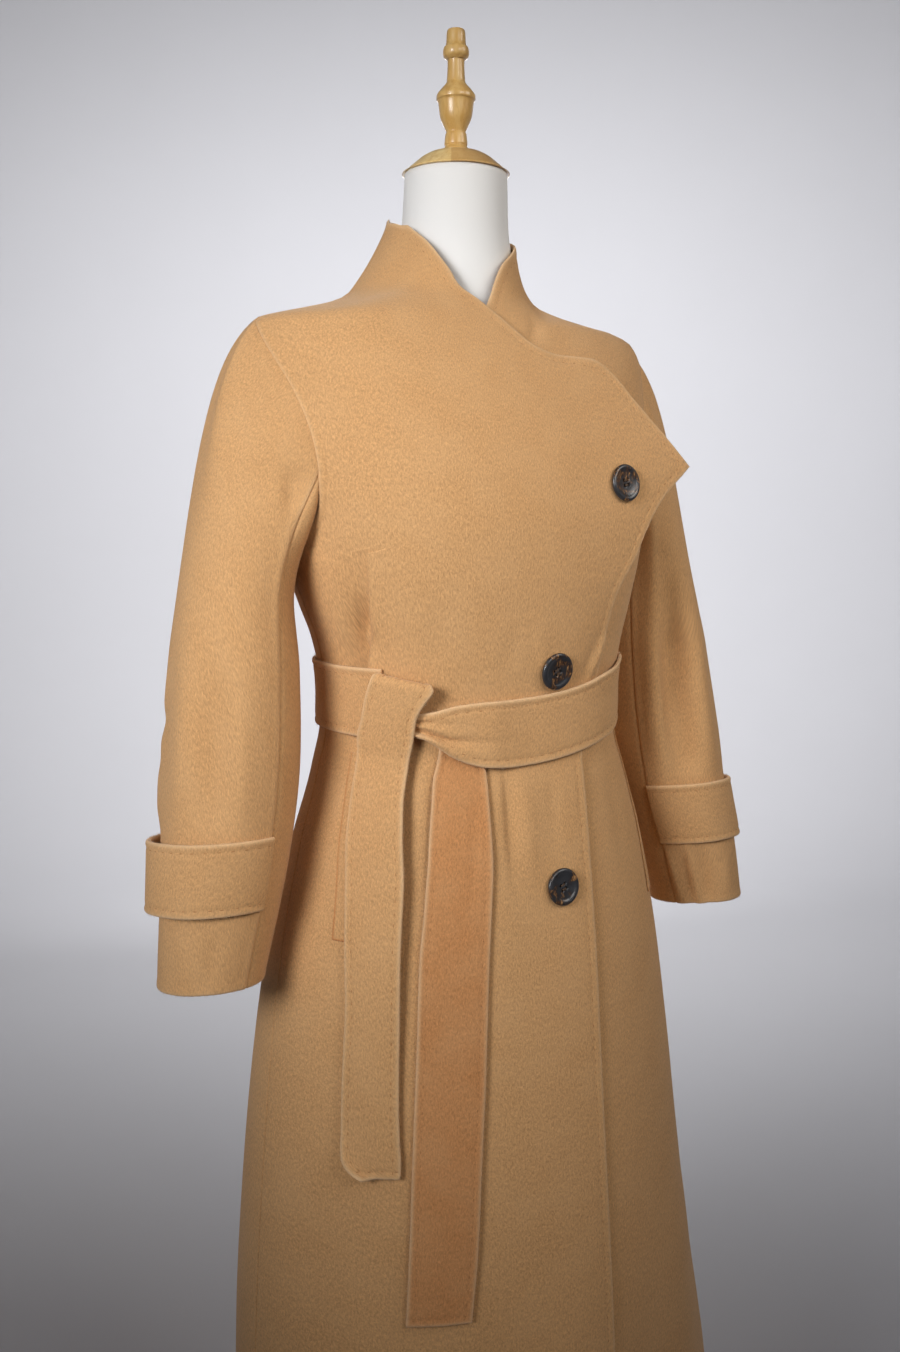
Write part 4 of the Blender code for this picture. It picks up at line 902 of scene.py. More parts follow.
# Finer creases of the sleeves, by side, with degrees round the sleeve in place of round the body
SLEEVE_CREASES = {
    -1.0: (
        (55.0, 1.352, 27.0, 1.270, 0.0110, -0.0042, -0.3),
        (64.0, 1.345, 52.0, 1.190, 0.0150, 0.0024, 0.0),
        (30.0, 1.250, 5.0, 1.205, 0.0140, -0.0030, 0.0),
        (2.0, 1.243, -14.0, 1.195, 0.0095, -0.0058, 0.3),
        (-16.0, 1.200, -22.0, 1.080, 0.0080, 0.0018, 0.0),
        (39.0, 1.085, 32.0, 0.915, 0.0150, -0.0044, 0.0),
        (15.0, 1.060, 8.0, 0.920, 0.0100, 0.0020, 0.0),
        (60.0, 1.080, 64.0, 0.920, 0.0130, 0.0020, 0.0),
        (92.0, 1.120, 88.0, 0.930, 0.0160, -0.0024, 0.0),
        (95.0, 1.030, 160.0, 0.985, 0.0100, -0.0036, 0.0),
        (105.0, 0.980, 172.0, 1.012, 0.0110, -0.0032, 0.0),
        (120.0, 1.065, 176.0, 1.045, 0.0110, -0.0026, 0.0),
        (20.0, 0.856, 24.0, 0.792, 0.0090, -0.0020, 0.0),
        (52.0, 0.856, 48.0, 0.792, 0.0100, 0.0014, 0.0),
    ),
    1.0: (
        (-25.0, 1.205, -42.0, 0.925, 0.0085, 0.0036, 0.3),
        (-9.0, 1.150, -22.0, 0.915, 0.0155, -0.0115, 0.0),
        (16.0, 1.120, 9.0, 0.925, 0.0140, 0.0024, 0.0),
        (40.0, 1.090, 36.0, 0.930, 0.0140, -0.0026, 0.0),
        (48.0, 1.352, 38.0, 1.280, 0.0080, -0.0028, 0.0),
        (-58.0, 0.858, -56.0, 0.790, 0.0045, 0.0024, 0.0),
        (-44.0, 0.862, -43.0, 0.788, 0.0055, -0.0044, 0.0),
        (-35.0, 0.856, -36.0, 0.790, 0.0042, 0.0020, 0.0),
        (-21.0, 0.860, -22.0, 0.788, 0.0080, -0.0042, 0.0),
        (8.0, 0.852, 5.0, 0.792, 0.0110, 0.0020, 0.0),
        (80.0, 1.030, 142.0, 0.985, 0.0100, -0.0036, 0.0),
        (92.0, 0.980, 150.0, 1.010, 0.0110, -0.0032, 0.0),
        (104.0, 1.065, 156.0, 1.045, 0.0110, -0.0026, 0.0),
    ),
}


def sleeve_ring(side, turn, height):
    """Point of the sleeve's tube, an oval with its folds: turn 0 is its front, 90 its outer side."""
    out, y, across, fore = [read(SLEEVE, height, k) for k in range(1, 5)]
    if side > 0:
        turn = turn + read(LEFT_TWIST, height, 1)
    angle = np.radians(turn)
    out = out + read(SWING, height, 1 if side < 0 else 2)
    shown = ease((SLEEVE_JOIN - height) / FOLD_FADES[0]) * ease((height - STRAP_TOP) / FOLD_FADES[1])
    for hand, middle, level, wide, tall, depth in SLEEVE_FOLDS:
        if hand == side:
            off = (turn - middle + 180.0) % 360.0 - 180.0
            fold = depth * np.exp(-(off / wide) ** 2 - ((height - level) / tall) ** 2) * shown
            across = across + fold
            fore = fore + fold
    x = side * (out + across * np.sin(angle))
    rise = SLEEVE_TILT * ease((SLEEVE_JOIN - height) / TILT_GROWS) * fore * np.cos(angle)
    return np.stack([x, y - fore * np.cos(angle), height + rise], -1)


def armhole_start(side, turn):
    """The sleeve's sewn edge: along the armhole's cut edge, tucked a little way under the front and back."""
    lean = np.radians(turn)
    height = ARMHOLE_MIDDLE + ARMHOLE_HALF * np.sin(lean)
    forward = armhole_angle(height, True)
    angle = side * np.radians(np.where(np.cos(lean) > 0, forward, armhole_angle(height, False)))
    edge = body(angle, height)
    inward = unit(edge - body(side * math.radians(SIDE), ARMHOLE_MIDDLE))
    return edge + TUCK * inward - TUCK_DEPTH * body_normal(angle, height)


def sleeve_outer(side, turns, cap, levels):
    """Outer grid of a sleeve: Hermite curves over the cap, from the armhole to the tube, then rings down to the hem."""
    start = armhole_start(side, turns)
    join = sleeve_ring(side, turns, np.full(len(turns), SLEEVE_JOIN))
    down = unit(sleeve_ring(side, turns, np.full(len(turns), SLEEVE_JOIN - 0.01)) - join)
    lean = np.radians(turns)
    away = unit(np.stack([side * (CAP_OUT[0] + CAP_OUT[1] * np.sin(lean)), CAP_FORWARD * np.cos(lean),
                          -(CAP_DOWN[0] + CAP_DOWN[1] * np.sin(lean))], -1))
    gap = np.linalg.norm(join - start, axis=-1)[:, None]
    t = cap[:, None, None]
    over = ((1 + 2 * t) * (1 - t) ** 2 * start + t * (1 - t) ** 2 * CAP_REACH * gap * away
            + t * t * (3 - 2 * t) * join + t * t * (t - 1) * CAP_DROP * gap * down)
    turn, level = np.meshgrid(turns, levels)
    return np.concatenate([over, sleeve_ring(side, turn, level)])


def sleeve_turns(first, last, tuck, count):
    """Columns round a sleeve between two seams, less a tuck at both, spaced as if a thousand degrees were a metre."""
    return first + tuck + 1000.0 * columns_of((last - first - 2 * tuck) / 1000.0, count)


border = np.array(BORDER_STEPS)
cap = np.concatenate([border / CAP_LENGTH, np.linspace(border[-1] / CAP_LENGTH, 1.0, SLEEVE_ROWS[0])[1:]])
tube = np.concatenate([np.linspace(SLEEVE_JOIN, SLEEVE_HEM + border[-1], SLEEVE_ROWS[1])[1:-1],
                       SLEEVE_HEM + border[::-1]])
sleeves = {}
for side, word in SIDES:
    front_seam, back_seam = SLEEVE_SEAMS[side]
    for piece, first, last, columns, flat, area in (
            ("upper", front_seam, back_seam, UPPER_COLUMNS, (0.33, 0.61), 0.122),
            ("under", back_seam, 360.0 + front_seam, UNDER_COLUMNS, (0.21, 0.53), 0.060)):
        turns = sleeve_turns(first, last, SEAM_TURN if piece == "upper" else -UNDER_TUCK, columns)
        grid = sleeve_outer(side, turns, cap, tube)
        if piece == "under":
            to_seam = np.minimum(turns - turns[0], turns[-1] - turns) * SLEEVE_ARC
            grid -= (TUCK_DEPTH * (1.0 - ease(to_seam / TUCK_WIDTH)))[None, :, None] * facing(grid, -side)
        turned = turns[None, :]
        if side > 0:
            turned = turned + read(LEFT_TWIST, np.clip(grid[..., 2], LEFT_TWIST[0][0], LEFT_TWIST[-1][0]), 1)
        depth = creased(SLEEVE_CREASES[side], turned, grid[..., 2], SLEEVE_ARC)
        grid += depth[..., None] * facing(grid, -side)
        seams = (RIDGED, RIDGED) if piece == "upper" else (SEWN, SEWN)
        shell = cloth_shell("coat_%s_sleeve_%s" % (word, piece), grid, CLOTH, seams + (SEWN, TURNED), -side)
        sleeves[word, piece] = shell
        dress(shell[0], "%s_sleeve_%s" % (word, piece), flat, area)

# Sleeve straps
# Wide straps of two cloths laid across the upper sleeves above the cuffs, caught in the sleeve seams at both ends
# and pick-stitched along their edges. The right one stands off the sleeve at its outer side.
STRAP_BOTTOM = 0.858
STRAP_STAND = {-1.0: 0.0085, 1.0: 0.0020}   # how far each strap arches off the sleeve at its outer side
BELT_CLOTH = 0.0034
STRAP_ROWS = 34
STRAP_COLUMNS = 120
STRAP_EDGE = (0.0018, 0.0003, 0.0005, 0.0068, 0.9)
STRAP_WAVE = 0.0006


def strap_outer(side, turns, heights):
    """Outer grid of a strap: a ring of the sleeve moved out, flat at its sewn ends and arched between."""
    turn, height = np.meshgrid(turns, heights)
    ring = sleeve_ring(side, turn, height)
    out = facing(ring, side)
    share = (turn - turns[0]) / (turns[-1] - turns[0])
    stand = SEAM + STRAP_STAND[side] * np.sin(np.pi * share) ** 1.5 + BELT_CLOTH
    wave = STRAP_WAVE * np.sin(0.11 * turn + 3.0 * side) * np.sin(np.pi * share)
    return ring + (stand + wave)[..., None] * out


straps = {}
for side, word in SIDES:
    turns = sleeve_turns(*SLEEVE_SEAMS[side], SEAM_TURN, STRAP_COLUMNS)
    heights = STRAP_BOTTOM + columns_of(STRAP_TOP - STRAP_BOTTOM, STRAP_ROWS, 0.04)
    grid = strap_outer(side, turns, heights)
    shell = cloth_shell("coat_%s_strap" % word, grid, BELT_CLOTH, (SEWN, SEWN, STRAP_EDGE, STRAP_EDGE), side)
    straps[word] = shell
    dress(shell[0], word + "_strap", (0.065, 0.255), None)

# Pocket welts
# Slanting welts of one cloth, sewn down beside the side seams over the pocket mouths.
WELT_CLOTH = {-1.0: 0.0019, 1.0: 0.0011}
# Height, and degrees from the front to the free and to the sewn long edge
WELT = ((0.831, 61.5, 54.0), (0.866, 63.2, 55.6), (0.922, 67.5, 59.2), (0.965, 70.4, 61.8),
        (0.990, 71.2, 62.4))
WELT_STAND = {-1.0: 0.0026, 1.0: 0.0013}   # of each face above its front: the right one stands a little open
WELT_EDGE = (0.0009, 0.0, 0.0, 0.0060, 0.0)
WELT_WIDTH = 0.0205
WELT_CUT = 0.022          # nominal width that its columns are spaced for
WELT_PAINTED_SHADE = 1.0
WELT_ROWS = 60
WELT_COLUMNS = 26
WELT_SHADE_LINE = 0.0017        # width of the line of painted shade along its free edge and foot, standing in for the shadow in the seam
STEP_DOWN = (36.0, 20.0)  # degrees where what lies on the coat steps down past the right front, and for how many


def dressed(angle, height, stand):
    """Point standing off the closed coat, which steps down past the right front's edge."""
    turn = (np.degrees(angle) + 180.0) % 360.0 - 180.0
    over = overlap(np.radians(turn)) * (1.0 - ease((turn - STEP_DOWN[0]) / STEP_DOWN[1]))
    return body(angle, height, True) + (over + stand)[..., None] * body_normal(angle, height)


for side, word in SIDES:
    height = WELT[0][0] + columns_of(WELT[-1][0] - WELT[0][0], WELT_ROWS)[:, None]
    free, sewn = [read(WELT, height, k) for k in (1, 2)]
    share = columns_of(WELT_CUT, WELT_COLUMNS, 0.04)[None, :] / WELT_CUT
    angle = side * np.radians(free + (sewn - free) * share)
    grid = dressed(angle, height + 0.0 * share, WELT_STAND[side] + 0.0 * angle)
    # Painted shade: the colour is made deeper along the welt's free edge and foot, standing in for the shadow in the
    # seam.
    to_shade_line = np.minimum(WELT_WIDTH * share, height - WELT[0][0])
    shell = cloth_shell("coat_%s_welt" % word, grid, WELT_CLOTH[side], (WELT_EDGE, SEWN, WELT_EDGE, WELT_EDGE), -side,
                        WELT_PAINTED_SHADE * np.exp(-(to_shade_line / WELT_SHADE_LINE) ** 2))
    dress(shell[0], word + "_welt", (0.020, 0.165), None)

# Belt
# A long belt of two cloths, pick-stitched near both edges, goes round the waist from a half knot at the wearer's
# right front. By the knot it is pinched and folds along its length; one end drops over the knot, one from under it.
LAID = 0.0009            # between the belt and the coat
# Belt round the waist: degrees round the body, heights of its lower and upper edge, and how far it stands off
BELT = (
    (-42.0, 1.0110, 1.0270, 0.0062),
    (-38.0, 1.0080, 1.0300, 0.0066),
    (-34.0, 1.0030, 1.0315, 0.0066),
    (-30.0, 0.9960, 1.0340, 0.0062),
    (-26.0, 0.9890, 1.0370, 0.0057),
    (-20.0, 0.9825, 1.0390, 0.0053),
    (-14.0, 0.9790, 1.0400, 0.0050),
    (-7.0, 0.9780, 1.0400, 0.0024),
    (0.0, 0.9790, 1.0410, LAID),
    (20.0, 0.9860, 1.0480, LAID),
    (36.0, 0.9940, 1.0570, LAID),
    (50.0, 0.9990, 1.0620, LAID),
    (70.0, 1.0030, 1.0655, LAID),
    (110.0, 1.0040, 1.0665, LAID),
    (180.0, 1.0020, 1.0645, LAID),
    (250.0, 1.0040, 1.0665, LAID),
    (270.0, 1.0055, 1.0675, LAID),
    (306.0, 1.0055, 1.0675, LAID),
)
# Belt's front end, over the top of the knot and down: height, degrees of its left and right edge, how far its middle
# stands off the coat, and how much lower its right edge runs
FRONT_END = (
    (1.0440, -51.5, -37.0, 0.0058, 0.0070),
    (1.0560, -52.0, -36.0, 0.0062, 0.0085),
    (1.0640, -53.5, -35.0, 0.0090, 0.0090),
    (1.0660, -55.0, -34.2, 0.0130, 0.0090),
    (1.0610, -56.2, -33.6, 0.0168, 0.0070),
    (1.0450, -58.8, -36.4, 0.0175, 0.0030),
    (1.0240, -61.2, -39.8, 0.0158, 0.0),
    (1.0080, -63.6, -40.8, 0.0138, 0.0),
    (0.9850, -64.2, -42.6, 0.0114, 0.0),
    (0.9600, -64.2, -43.0, 0.0098, 0.0),
    (0.9300, -63.0, -41.8, 0.0085, 0.0),
    (0.8800, -59.3, -39.4, 0.0072, 0.0),
    (0.8300, -56.2, -38.8, 0.0066, 0.0),
    (0.7660, -53.4, -38.1, 0.0062, 0.0),
    (0.7000, -52.8, -37.8, 0.0060, 0.0),
    (0.6650, -52.3, -37.4, 0.0060, 0.0),
    (0.6500, -51.6, -37.1, 0.0062, 0.0),
    (0.6400, -49.4, -37.1, 0.0064, 0.0),
    (0.6345, -46.5, -37.3, 0.0066, 0.0),
)
# Belt's rear end, out from under the belt and down, in the same columns
REAR_END = (
    (1.0060, -31.5, -17.0, 0.0024, 0.0),
    (0.9850, -32.8, -15.6, 0.0024, 0.0),
    (0.9680, -34.0, -15.0, 0.0026, 0.0),
    (0.9400, -33.9, -14.4, 0.0032, 0.0),
    (0.9000, -33.3, -13.8, 0.0036, 0.0),
    (0.8600, -33.4, -14.4, 0.0036, 0.0),
    (0.8200, -33.8, -15.2, 0.0036, 0.0),
    (0.7640, -33.8, -16.2, 0.0034, 0.0),
    (0.7060, -34.1, -17.2, 0.0034, 0.0),
    (0.6400, -34.6, -18.5, 0.0034, 0.0),
    (0.5720, -35.2, -19.7, 0.0034, 0.0),
    (0.5070, -36.0, -21.5, 0.0034, 0.0),
)
# Knot, the bunched cloth inside the front end's turn
KNOT_ANGLE = -47.0
KNOT_HALF_ANGLE = 4.75
KNOT_HEIGHT = 1.0215
KNOT_HALF_HEIGHT = 0.0170
KNOT_STAND = 0.0072
KNOT_HALF_DEPTH = 0.0056
KNOT_POWERS = (0.6, 0.7)   # how square it is upright and level
KNOT_PLEATS = 0.10
KNOT_TONE = 0.2            # how much deeper the colour is made here on the knot, and over the whole rear end
REAR_TONE = 0.55
# Fold by the knot: depths of its roll, groove and pleats, and of the swell of the rest
ROLL = 0.0026
GROOVE = 0.0030
PLEATS = 0.0011
SWELL = 0.0005
# Belt ends: how far the front one's corner curls and its right side stands off, then bow and ripple of each
CORNER_CURL = 0.0075
SIDE_STAND = 0.0060
FRONT_BOW = 0.0007
FRONT_RIPPLE = 0.0007
REAR_BOW = 0.0004
REAR_RIPPLE = 0.0006
BELT_EDGE = (0.0017, 0.0002, 0.0005, 0.0066, 1.0)
BAND_COLUMNS = 400
BAND_ROWS = 36
BAND_WIDTH = 0.062
END_WIDTH = 0.058
END_ROWS = 230
END_COLUMNS = 34
KNOT_RINGS = 34
KNOT_AROUND = 64


def pinched(turn, share):
    """Fold along the belt by the knot: a groove over a rolled lower edge, and pleats that fan out of the pinch."""
    fade = 1.0 - ease((turn + 34.0) / 30.0)
    line = 0.24 + 0.16 * ease((turn + 40.0) / 22.0)
    groove = np.exp(-((share - line) / 0.055) ** 2)
    roll = np.exp(-((share - 0.45 * line) / 0.11) ** 2)
    pleats = PLEATS * np.sin(19.0 * share + 0.05 * turn) * (1.0 - ease((turn + 36.0) / 16.0))
    return fade * (ROLL * roll - GROOVE * groove) + pleats * np.sin(np.pi * share)


def belt_outer(turn, share):
    """Outer grid of the belt round the waist: its table's bottom, top and stand at each angle, laid on the coat."""
    bottom, top, stand = [read(BELT, turn, k) for k in (1, 2, 3)]
    height = bottom + (top - bottom) * share
    swell = SWELL * np.sin(0.21 * turn + 5.0 * share) * np.sin(np.pi * share)
    lift = stand + BELT_CLOTH + pinched(turn, share) + swell
    return dressed(np.radians(turn) + 0.0 * share, height, lift)


def end_outer(rows, length, width, extra):
    """Outer grid of a belt end: smooth curves down its table, straight across, off the coat by its stand and extra."""
    rows = table(rows)
    middle = dressed(np.radians(0.5 * (rows[:, 1] + rows[:, 2])), rows[:, 0] - 0.5 * rows[:, 4], rows[:, 3])
    run = run_of(middle)
    along = columns_of(run[-1], length)[:, None]
    height, left, right, stand, drop = [through(along, run, rows[:, k]) for k in range(5)]
    share = columns_of(END_WIDTH, width, 0.04)[None, :] / END_WIDTH
    angle = np.radians(left + (right - left) * share)
    grid = dressed(angle, height - drop * share, stand + 0.0 * share)
    out = facing(grid, -1.0)
    return grid + (0.5 * BELT_CLOTH + extra(along / run[-1], share))[..., None] * out


def front_end_lift(along, share):
    """The front end bows gently across, ripples down its length and curls forward at its rounded lower left corner."""
    curl = CORNER_CURL * np.exp(-(share / 0.22) ** 2) * ease((along - 0.90) / 0.10)
    bow = FRONT_BOW * np.sin(np.pi * share) * ease((along - 0.2) / 0.2)
    ripple = FRONT_RIPPLE * np.sin(9.0 * along + 2.2 * share) * ease((along - 0.25) / 0.2)
    stand = SIDE_STAND * share ** 1.5 * ease((along - 0.22) / 0.12) * (1.0 - ease((along - 0.45) / 0.35))
    return curl + bow + ripple + stand


def rear_end_lift(along, share):
    """The rear end hangs almost flat, with a slow ripple."""
    ripple = REAR_RIPPLE * np.sin(8.0 * along + 1.6 * share) * ease((along - 0.1) / 0.2)
    return ripple + REAR_BOW * np.sin(np.pi * share)


def closed_rings(rings, around):
    """Faces of a stack of rings: quads between neighbours, and triangles to a point under and one over, listed last."""
    index = np.arange(rings * around).reshape(rings, around)
    index = np.hstack([index, index[:, :1]])
    low = np.full(around, rings * around)
    return grid_quads(index), np.vstack([np.stack([low, index[0, 1:], index[0, :-1]], -1),
                                         np.stack([low + 1, index[-1, :-1], index[-1, 1:]], -1)])


fine = np.linspace(BELT[0][0], BELT[-1][0], 1600)
run = run_of(dressed(np.radians(fine), np.full(len(fine), WAIST), np.zeros(len(fine))))
turn = np.interp(columns_of(run[-1], BAND_COLUMNS), run, fine)[None, :]
share = columns_of(BAND_WIDTH, BAND_ROWS, 0.04)[:, None] / BAND_WIDTH
band = cloth_shell("coat_belt_band", belt_outer(turn, share), BELT_CLOTH, (SEWN, SEWN, BELT_EDGE, BELT_EDGE))
front_end = cloth_shell("belt_front_end", end_outer(FRONT_END, END_ROWS, END_COLUMNS, front_end_lift), BELT_CLOTH,
                        (BELT_EDGE, BELT_EDGE, SEWN, BELT_EDGE), -1.0)
rear_end = cloth_shell("belt_rear_end", end_outer(REAR_END, END_ROWS, END_COLUMNS, rear_end_lift), BELT_CLOTH,
                       (BELT_EDGE, BELT_EDGE, SEWN, BELT_EDGE), -1.0, tone=REAR_TONE)

rise = np.radians(np.linspace(-90.0, 90.0, KNOT_RINGS + 2))[1:-1, None]
spin = np.radians(np.linspace(0.0, 360.0, KNOT_AROUND, endpoint=False))[None, :]
wide = np.cos(rise) ** KNOT_POWERS[0]
pleat = 1.0 + KNOT_PLEATS * np.sin(7.0 * rise + 1.5 * np.cos(spin))
angle = np.radians(KNOT_ANGLE + KNOT_HALF_ANGLE * wide * pushed(np.cos(spin), KNOT_POWERS[1]))
stand = KNOT_STAND + KNOT_HALF_DEPTH * wide * pleat * pushed(np.sin(spin), KNOT_POWERS[1])
height = KNOT_HEIGHT + KNOT_HALF_HEIGHT * np.sin(rise) + 0.0 * spin
rings = dressed(angle, height, stand)
ends = dressed(np.radians([KNOT_ANGLE, KNOT_ANGLE]), KNOT_HEIGHT + KNOT_HALF_HEIGHT * np.array([-1.0, 1.0]),
               np.array([KNOT_STAND, KNOT_STAND]))
quads, tris = closed_rings(KNOT_RINGS, KNOT_AROUND)
uv = np.stack(np.broadcast_arrays(0.02 * spin, height), -1).reshape(-1, 2)
knot = mesh_of("belt_knot_bunch", np.vstack([rings.reshape(-1, 3), ends]), quads[:, ::-1], tris[:, ::-1],
               np.vstack([uv, uv[:2]]), worn=np.zeros(len(uv) + 2), tone=np.full(len(uv) + 2, KNOT_TONE))
fit(knot, wool, "belt_knot")
dress(front_end[0], "belt_end_front", (0.062, 0.47), None)
dress(rear_end[0], "belt_end_rear", (0.062, 0.507), None)
dress(band[0], "belt_band", (0.062, 0.845), None)

# Pick stitches
# Small running stitches in a thread a little deeper than the cloth, worked by hand about a centimetre apart in the
# groove inside each free edge of the fronts, collar, belt and straps, half sunk in the nap.
STITCH_LENGTH = 0.0030
STITCH_RADIUS = 0.00045
STITCH_PITCH = 0.0112
STITCH_STRAY = 0.12      # parts of a pitch that each is out of place
STITCH_SIDES = 6
STITCH_RINGS = (-0.5, -0.36, 0.0, 0.36, 0.5)   # parts of its length, and of its radius at the three between
STITCH_GIRTHS = (0.8, 1.0, 0.8)
STITCH_SINK = 0.0001
STITCH_IN = 0.0070       # from the edge of the belt and straps
THREAD = (0.300, 0.140, 0.050, 1.0)
BELT_BORDERS = ((2, 3), (0, 1, 3))   # borders of the band, and of each end, that are stitched and worn
rng = np.random.default_rng(11)


def inwards_from(border, *fields):
    """Grids turned so that their columns run inwards from a border: the first or last column, or first or last row."""
    if border > 1:
        fields = [np.swapaxes(k, 0, 1) for k in fields]
    return [k[:, ::-1] for k in fields] if border in (1, 3) else fields


def sewn_line(shell, border, place):
    """Points and outward directions on a shell's outer face at one distance from one border, row by row."""
    _, upper, out, gaps = shell
    upper, out, d = inwards_from(border, upper, out, gaps[border])
    count = upper.shape[1] // 2
    first = np.argmax(d[:, :count] >= place, axis=1)
    row = np.arange(len(d))
    keep = first > 0
    row, k = row[keep], first[keep]
    share = ((place - d[row, k - 1]) / (d[row, k] - d[row, k - 1]))[:, None]
    points = upper[row, k - 1] + share * (upper[row, k] - upper[row, k - 1])
    return points, out[row, k]


def stitches_along(points, out, pitch):
    """Middle, direction and outward direction of stitches spaced along a line, a little unevenly."""
    run = run_of(points)
    at = np.arange(0.6 * pitch, run[-1] - 0.4 * pitch, pitch)
    at = at + rng.uniform(-STITCH_STRAY, STITCH_STRAY, len(at)) * pitch
    middle = places_on(points, run, at)
    return middle, unit(places_on(points, run, at + 0.001) - middle + 1e-9), unit(places_on(out, run, at))


def beads(middle, along, away, length, radius):
    """Capsules lying on a surface: three rings and two tips along each stitch, all in one mesh."""
    across = np.cross(away, along)
    lift = np.array(STITCH_RINGS)
    girth = np.array(STITCH_GIRTHS)
    spin = np.linspace(0.0, math.tau, STITCH_SIDES, endpoint=False)
    ring = girth[:, None, None] * (np.cos(spin)[:, None] * across[:, None, None] + np.sin(spin)[:, None]
                                   * away[:, None, None]) * radius
    rings = middle[:, None, None] + (lift[1:-1] * length)[:, None, None] * along[:, None, None] + ring
    tips = middle[:, None] + lift[[0, -1]][:, None] * length * along[:, None]
    points = np.concatenate([rings.reshape(len(middle), -1, 3), tips], 1)
    quads, tris = closed_rings(len(girth), STITCH_SIDES)
    shift = (np.arange(len(middle)) * points.shape[1])[:, None, None]
    return points.reshape(-1, 3), (quads + shift).reshape(-1, 4), (tris + shift).reshape(-1, 3)


belt_shells = ((band, BELT_BORDERS[0]), (front_end, BELT_BORDERS[1]), (rear_end, BELT_BORDERS[1]),
               (straps["right"], BELT_BORDERS[0]), (straps["left"], BELT_BORDERS[0]))
lines = [(right_front, 1, EDGE[3]), (left_front, 0, EDGE[3])]
lines += [(shell, border, STITCH_IN) for shell, borders in belt_shells for border in borders]
parts = [stitches_along(*sewn_line(shell, border, place), STITCH_PITCH) for shell, border, place in lines]
middle, along, away = [np.concatenate(k) for k in zip(*parts)]
stitches = mesh_of("pick_stitches", *beads(middle - STITCH_SINK * away, along, away, STITCH_LENGTH, STITCH_RADIUS))
fit(stitches, speckled("wool_thread", THREAD, toned(THREAD, 1.7), 1500.0, 1.0, {"Roughness": 0.85}))

# Nap
# Loose wool fibres that stand out of the brushed cloth, thickest along the worn free edges, where they blur the
# outline, and thin over the faces. Each is a fine closed spike rooted in the cloth.
EDGE_FIBRES = 1900        # for a metre of edge
FACE_FIBRES = 20000
FIBRE_LENGTH = (0.0012, 0.0036)
FIBRE_RADIUS = 0.00005
FIBRE_SHORTER = 0.6       # part of that length that the shortest keep
FIBRE_BEND = 0.25
FIBRE_ROOT = 0.0001       # depth of its root in the face
EDGE_LEAN = 0.9           # in and out of the cloth at an edge, and how far it strays
EDGE_STRAY = 0.35
FACE_LIFT = 0.55          # off the face, down with the nap, and how far it strays
FACE_LEAN = (0.0, 0.0, -0.9)
FACE_STRAY = 0.5
EDGE_COLUMN = 6           # column whose direction to the border the edge's fibres take
FIBRE = (0.740, 0.500, 0.275, 1.0)


def edge_fibres(shell, border):
    """Roots and directions of fibres along one border of a shell, pointing away from the cloth and a little out."""
    _, upper, out, _ = shell
    upper, out = inwards_from(border, upper, out)
    run = run_of(upper[:, 0])
    at = rng.uniform(0.0, run[-1], int(EDGE_FIBRES * run[-1]))
    away = unit(upper[:, 0] - upper[:, EDGE_COLUMN] + 1e-9)
    root, away, out = [places_on(k, run, at) for k in (upper[:, 0], away, out[:, 0])]
    lean = rng.uniform(-EDGE_LEAN, EDGE_LEAN, (len(at), 1))
    return root, unit(away + lean * out + rng.normal(0.0, EDGE_STRAY, (len(at), 3)))


def face_fibres(shell, count):
    """Roots and directions of fibres over a shell's outer face, leaning down with the nap."""
    _, upper, out, _ = shell
    size = np.linalg.norm(np.cross(np.gradient(upper, axis=1), np.gradient(upper, axis=0)), axis=-1).ravel()
    pick = rng.choice(len(size), count, p=size / size.sum())
    step = np.gradient(upper, axis=1).reshape(-1, 3)[pick] * rng.uniform(-0.5, 0.5, (count, 1))
    rise = np.gradient(upper, axis=0).reshape(-1, 3)[pick] * rng.uniform(-0.5, 0.5, (count, 1))
    away = out.reshape(-1, 3)[pick]
    lean = np.array(FACE_LEAN) + rng.normal(0.0, FACE_STRAY, (count, 3))
    return upper.reshape(-1, 3)[pick] + step + rise - FIBRE_ROOT * away, unit(FACE_LIFT * away + lean)


def spikes(root, away):
    """Thin three-sided spikes, each a base triangle at the root and a tip bent a little from it."""
    length = rng.uniform(*FIBRE_LENGTH, (len(root), 1)) * rng.uniform(FIBRE_SHORTER, 1.0, (len(root), 1))
    side = unit(np.cross(away, rng.normal(0.0, 1.0, away.shape)))
    other = np.cross(away, side)
    spin = np.radians([0.0, 120.0, 240.0])
    base = [root + FIBRE_RADIUS * (math.cos(k) * side + math.sin(k) * other) for k in spin]
    tip = root + length * away + FIBRE_BEND * length * side
    points = np.stack(base + [tip], 1).reshape(-1, 3)
    tris = np.array([(0, 2, 1), (0, 1, 3), (1, 2, 3), (2, 0, 3)])
    return points, (tris + 4 * np.arange(len(root))[:, None, None]).reshape(-1, 3)


body_shells = ((right_front, (1, 2)), (left_front, (0, 2)), (backs[0], (2, 3)), (backs[1], (2, 3)))
cuffs = tuple((sleeves[word, piece], (3,)) for _, word in SIDES for piece in ("upper", "under"))
faces = ((right_front, 0.26), (left_front, 0.10), (backs[0], 0.13), (backs[1], 0.13),
         (sleeves["right", "upper"], 0.12), (sleeves["left", "upper"], 0.10), (band, 0.06), (front_end, 0.05),
         (rear_end, 0.05))
parts = [edge_fibres(shell, border) for shell, borders in body_shells + belt_shells + cuffs for border in borders]
parts += [face_fibres(shell, int(FACE_FIBRES * part)) for shell, part in faces]
root, away = [np.concatenate(k) for k in zip(*parts)]
points, tris = spikes(root, away)
nap = mesh_of("nap_fibres", points, (), tris)
fit(nap, speckled("nap_fibre", toned(FIBRE, 0.75), FIBRE, 400.0, 1.0, {"Roughness": 0.9, "Sheen Weight": 0.3}))

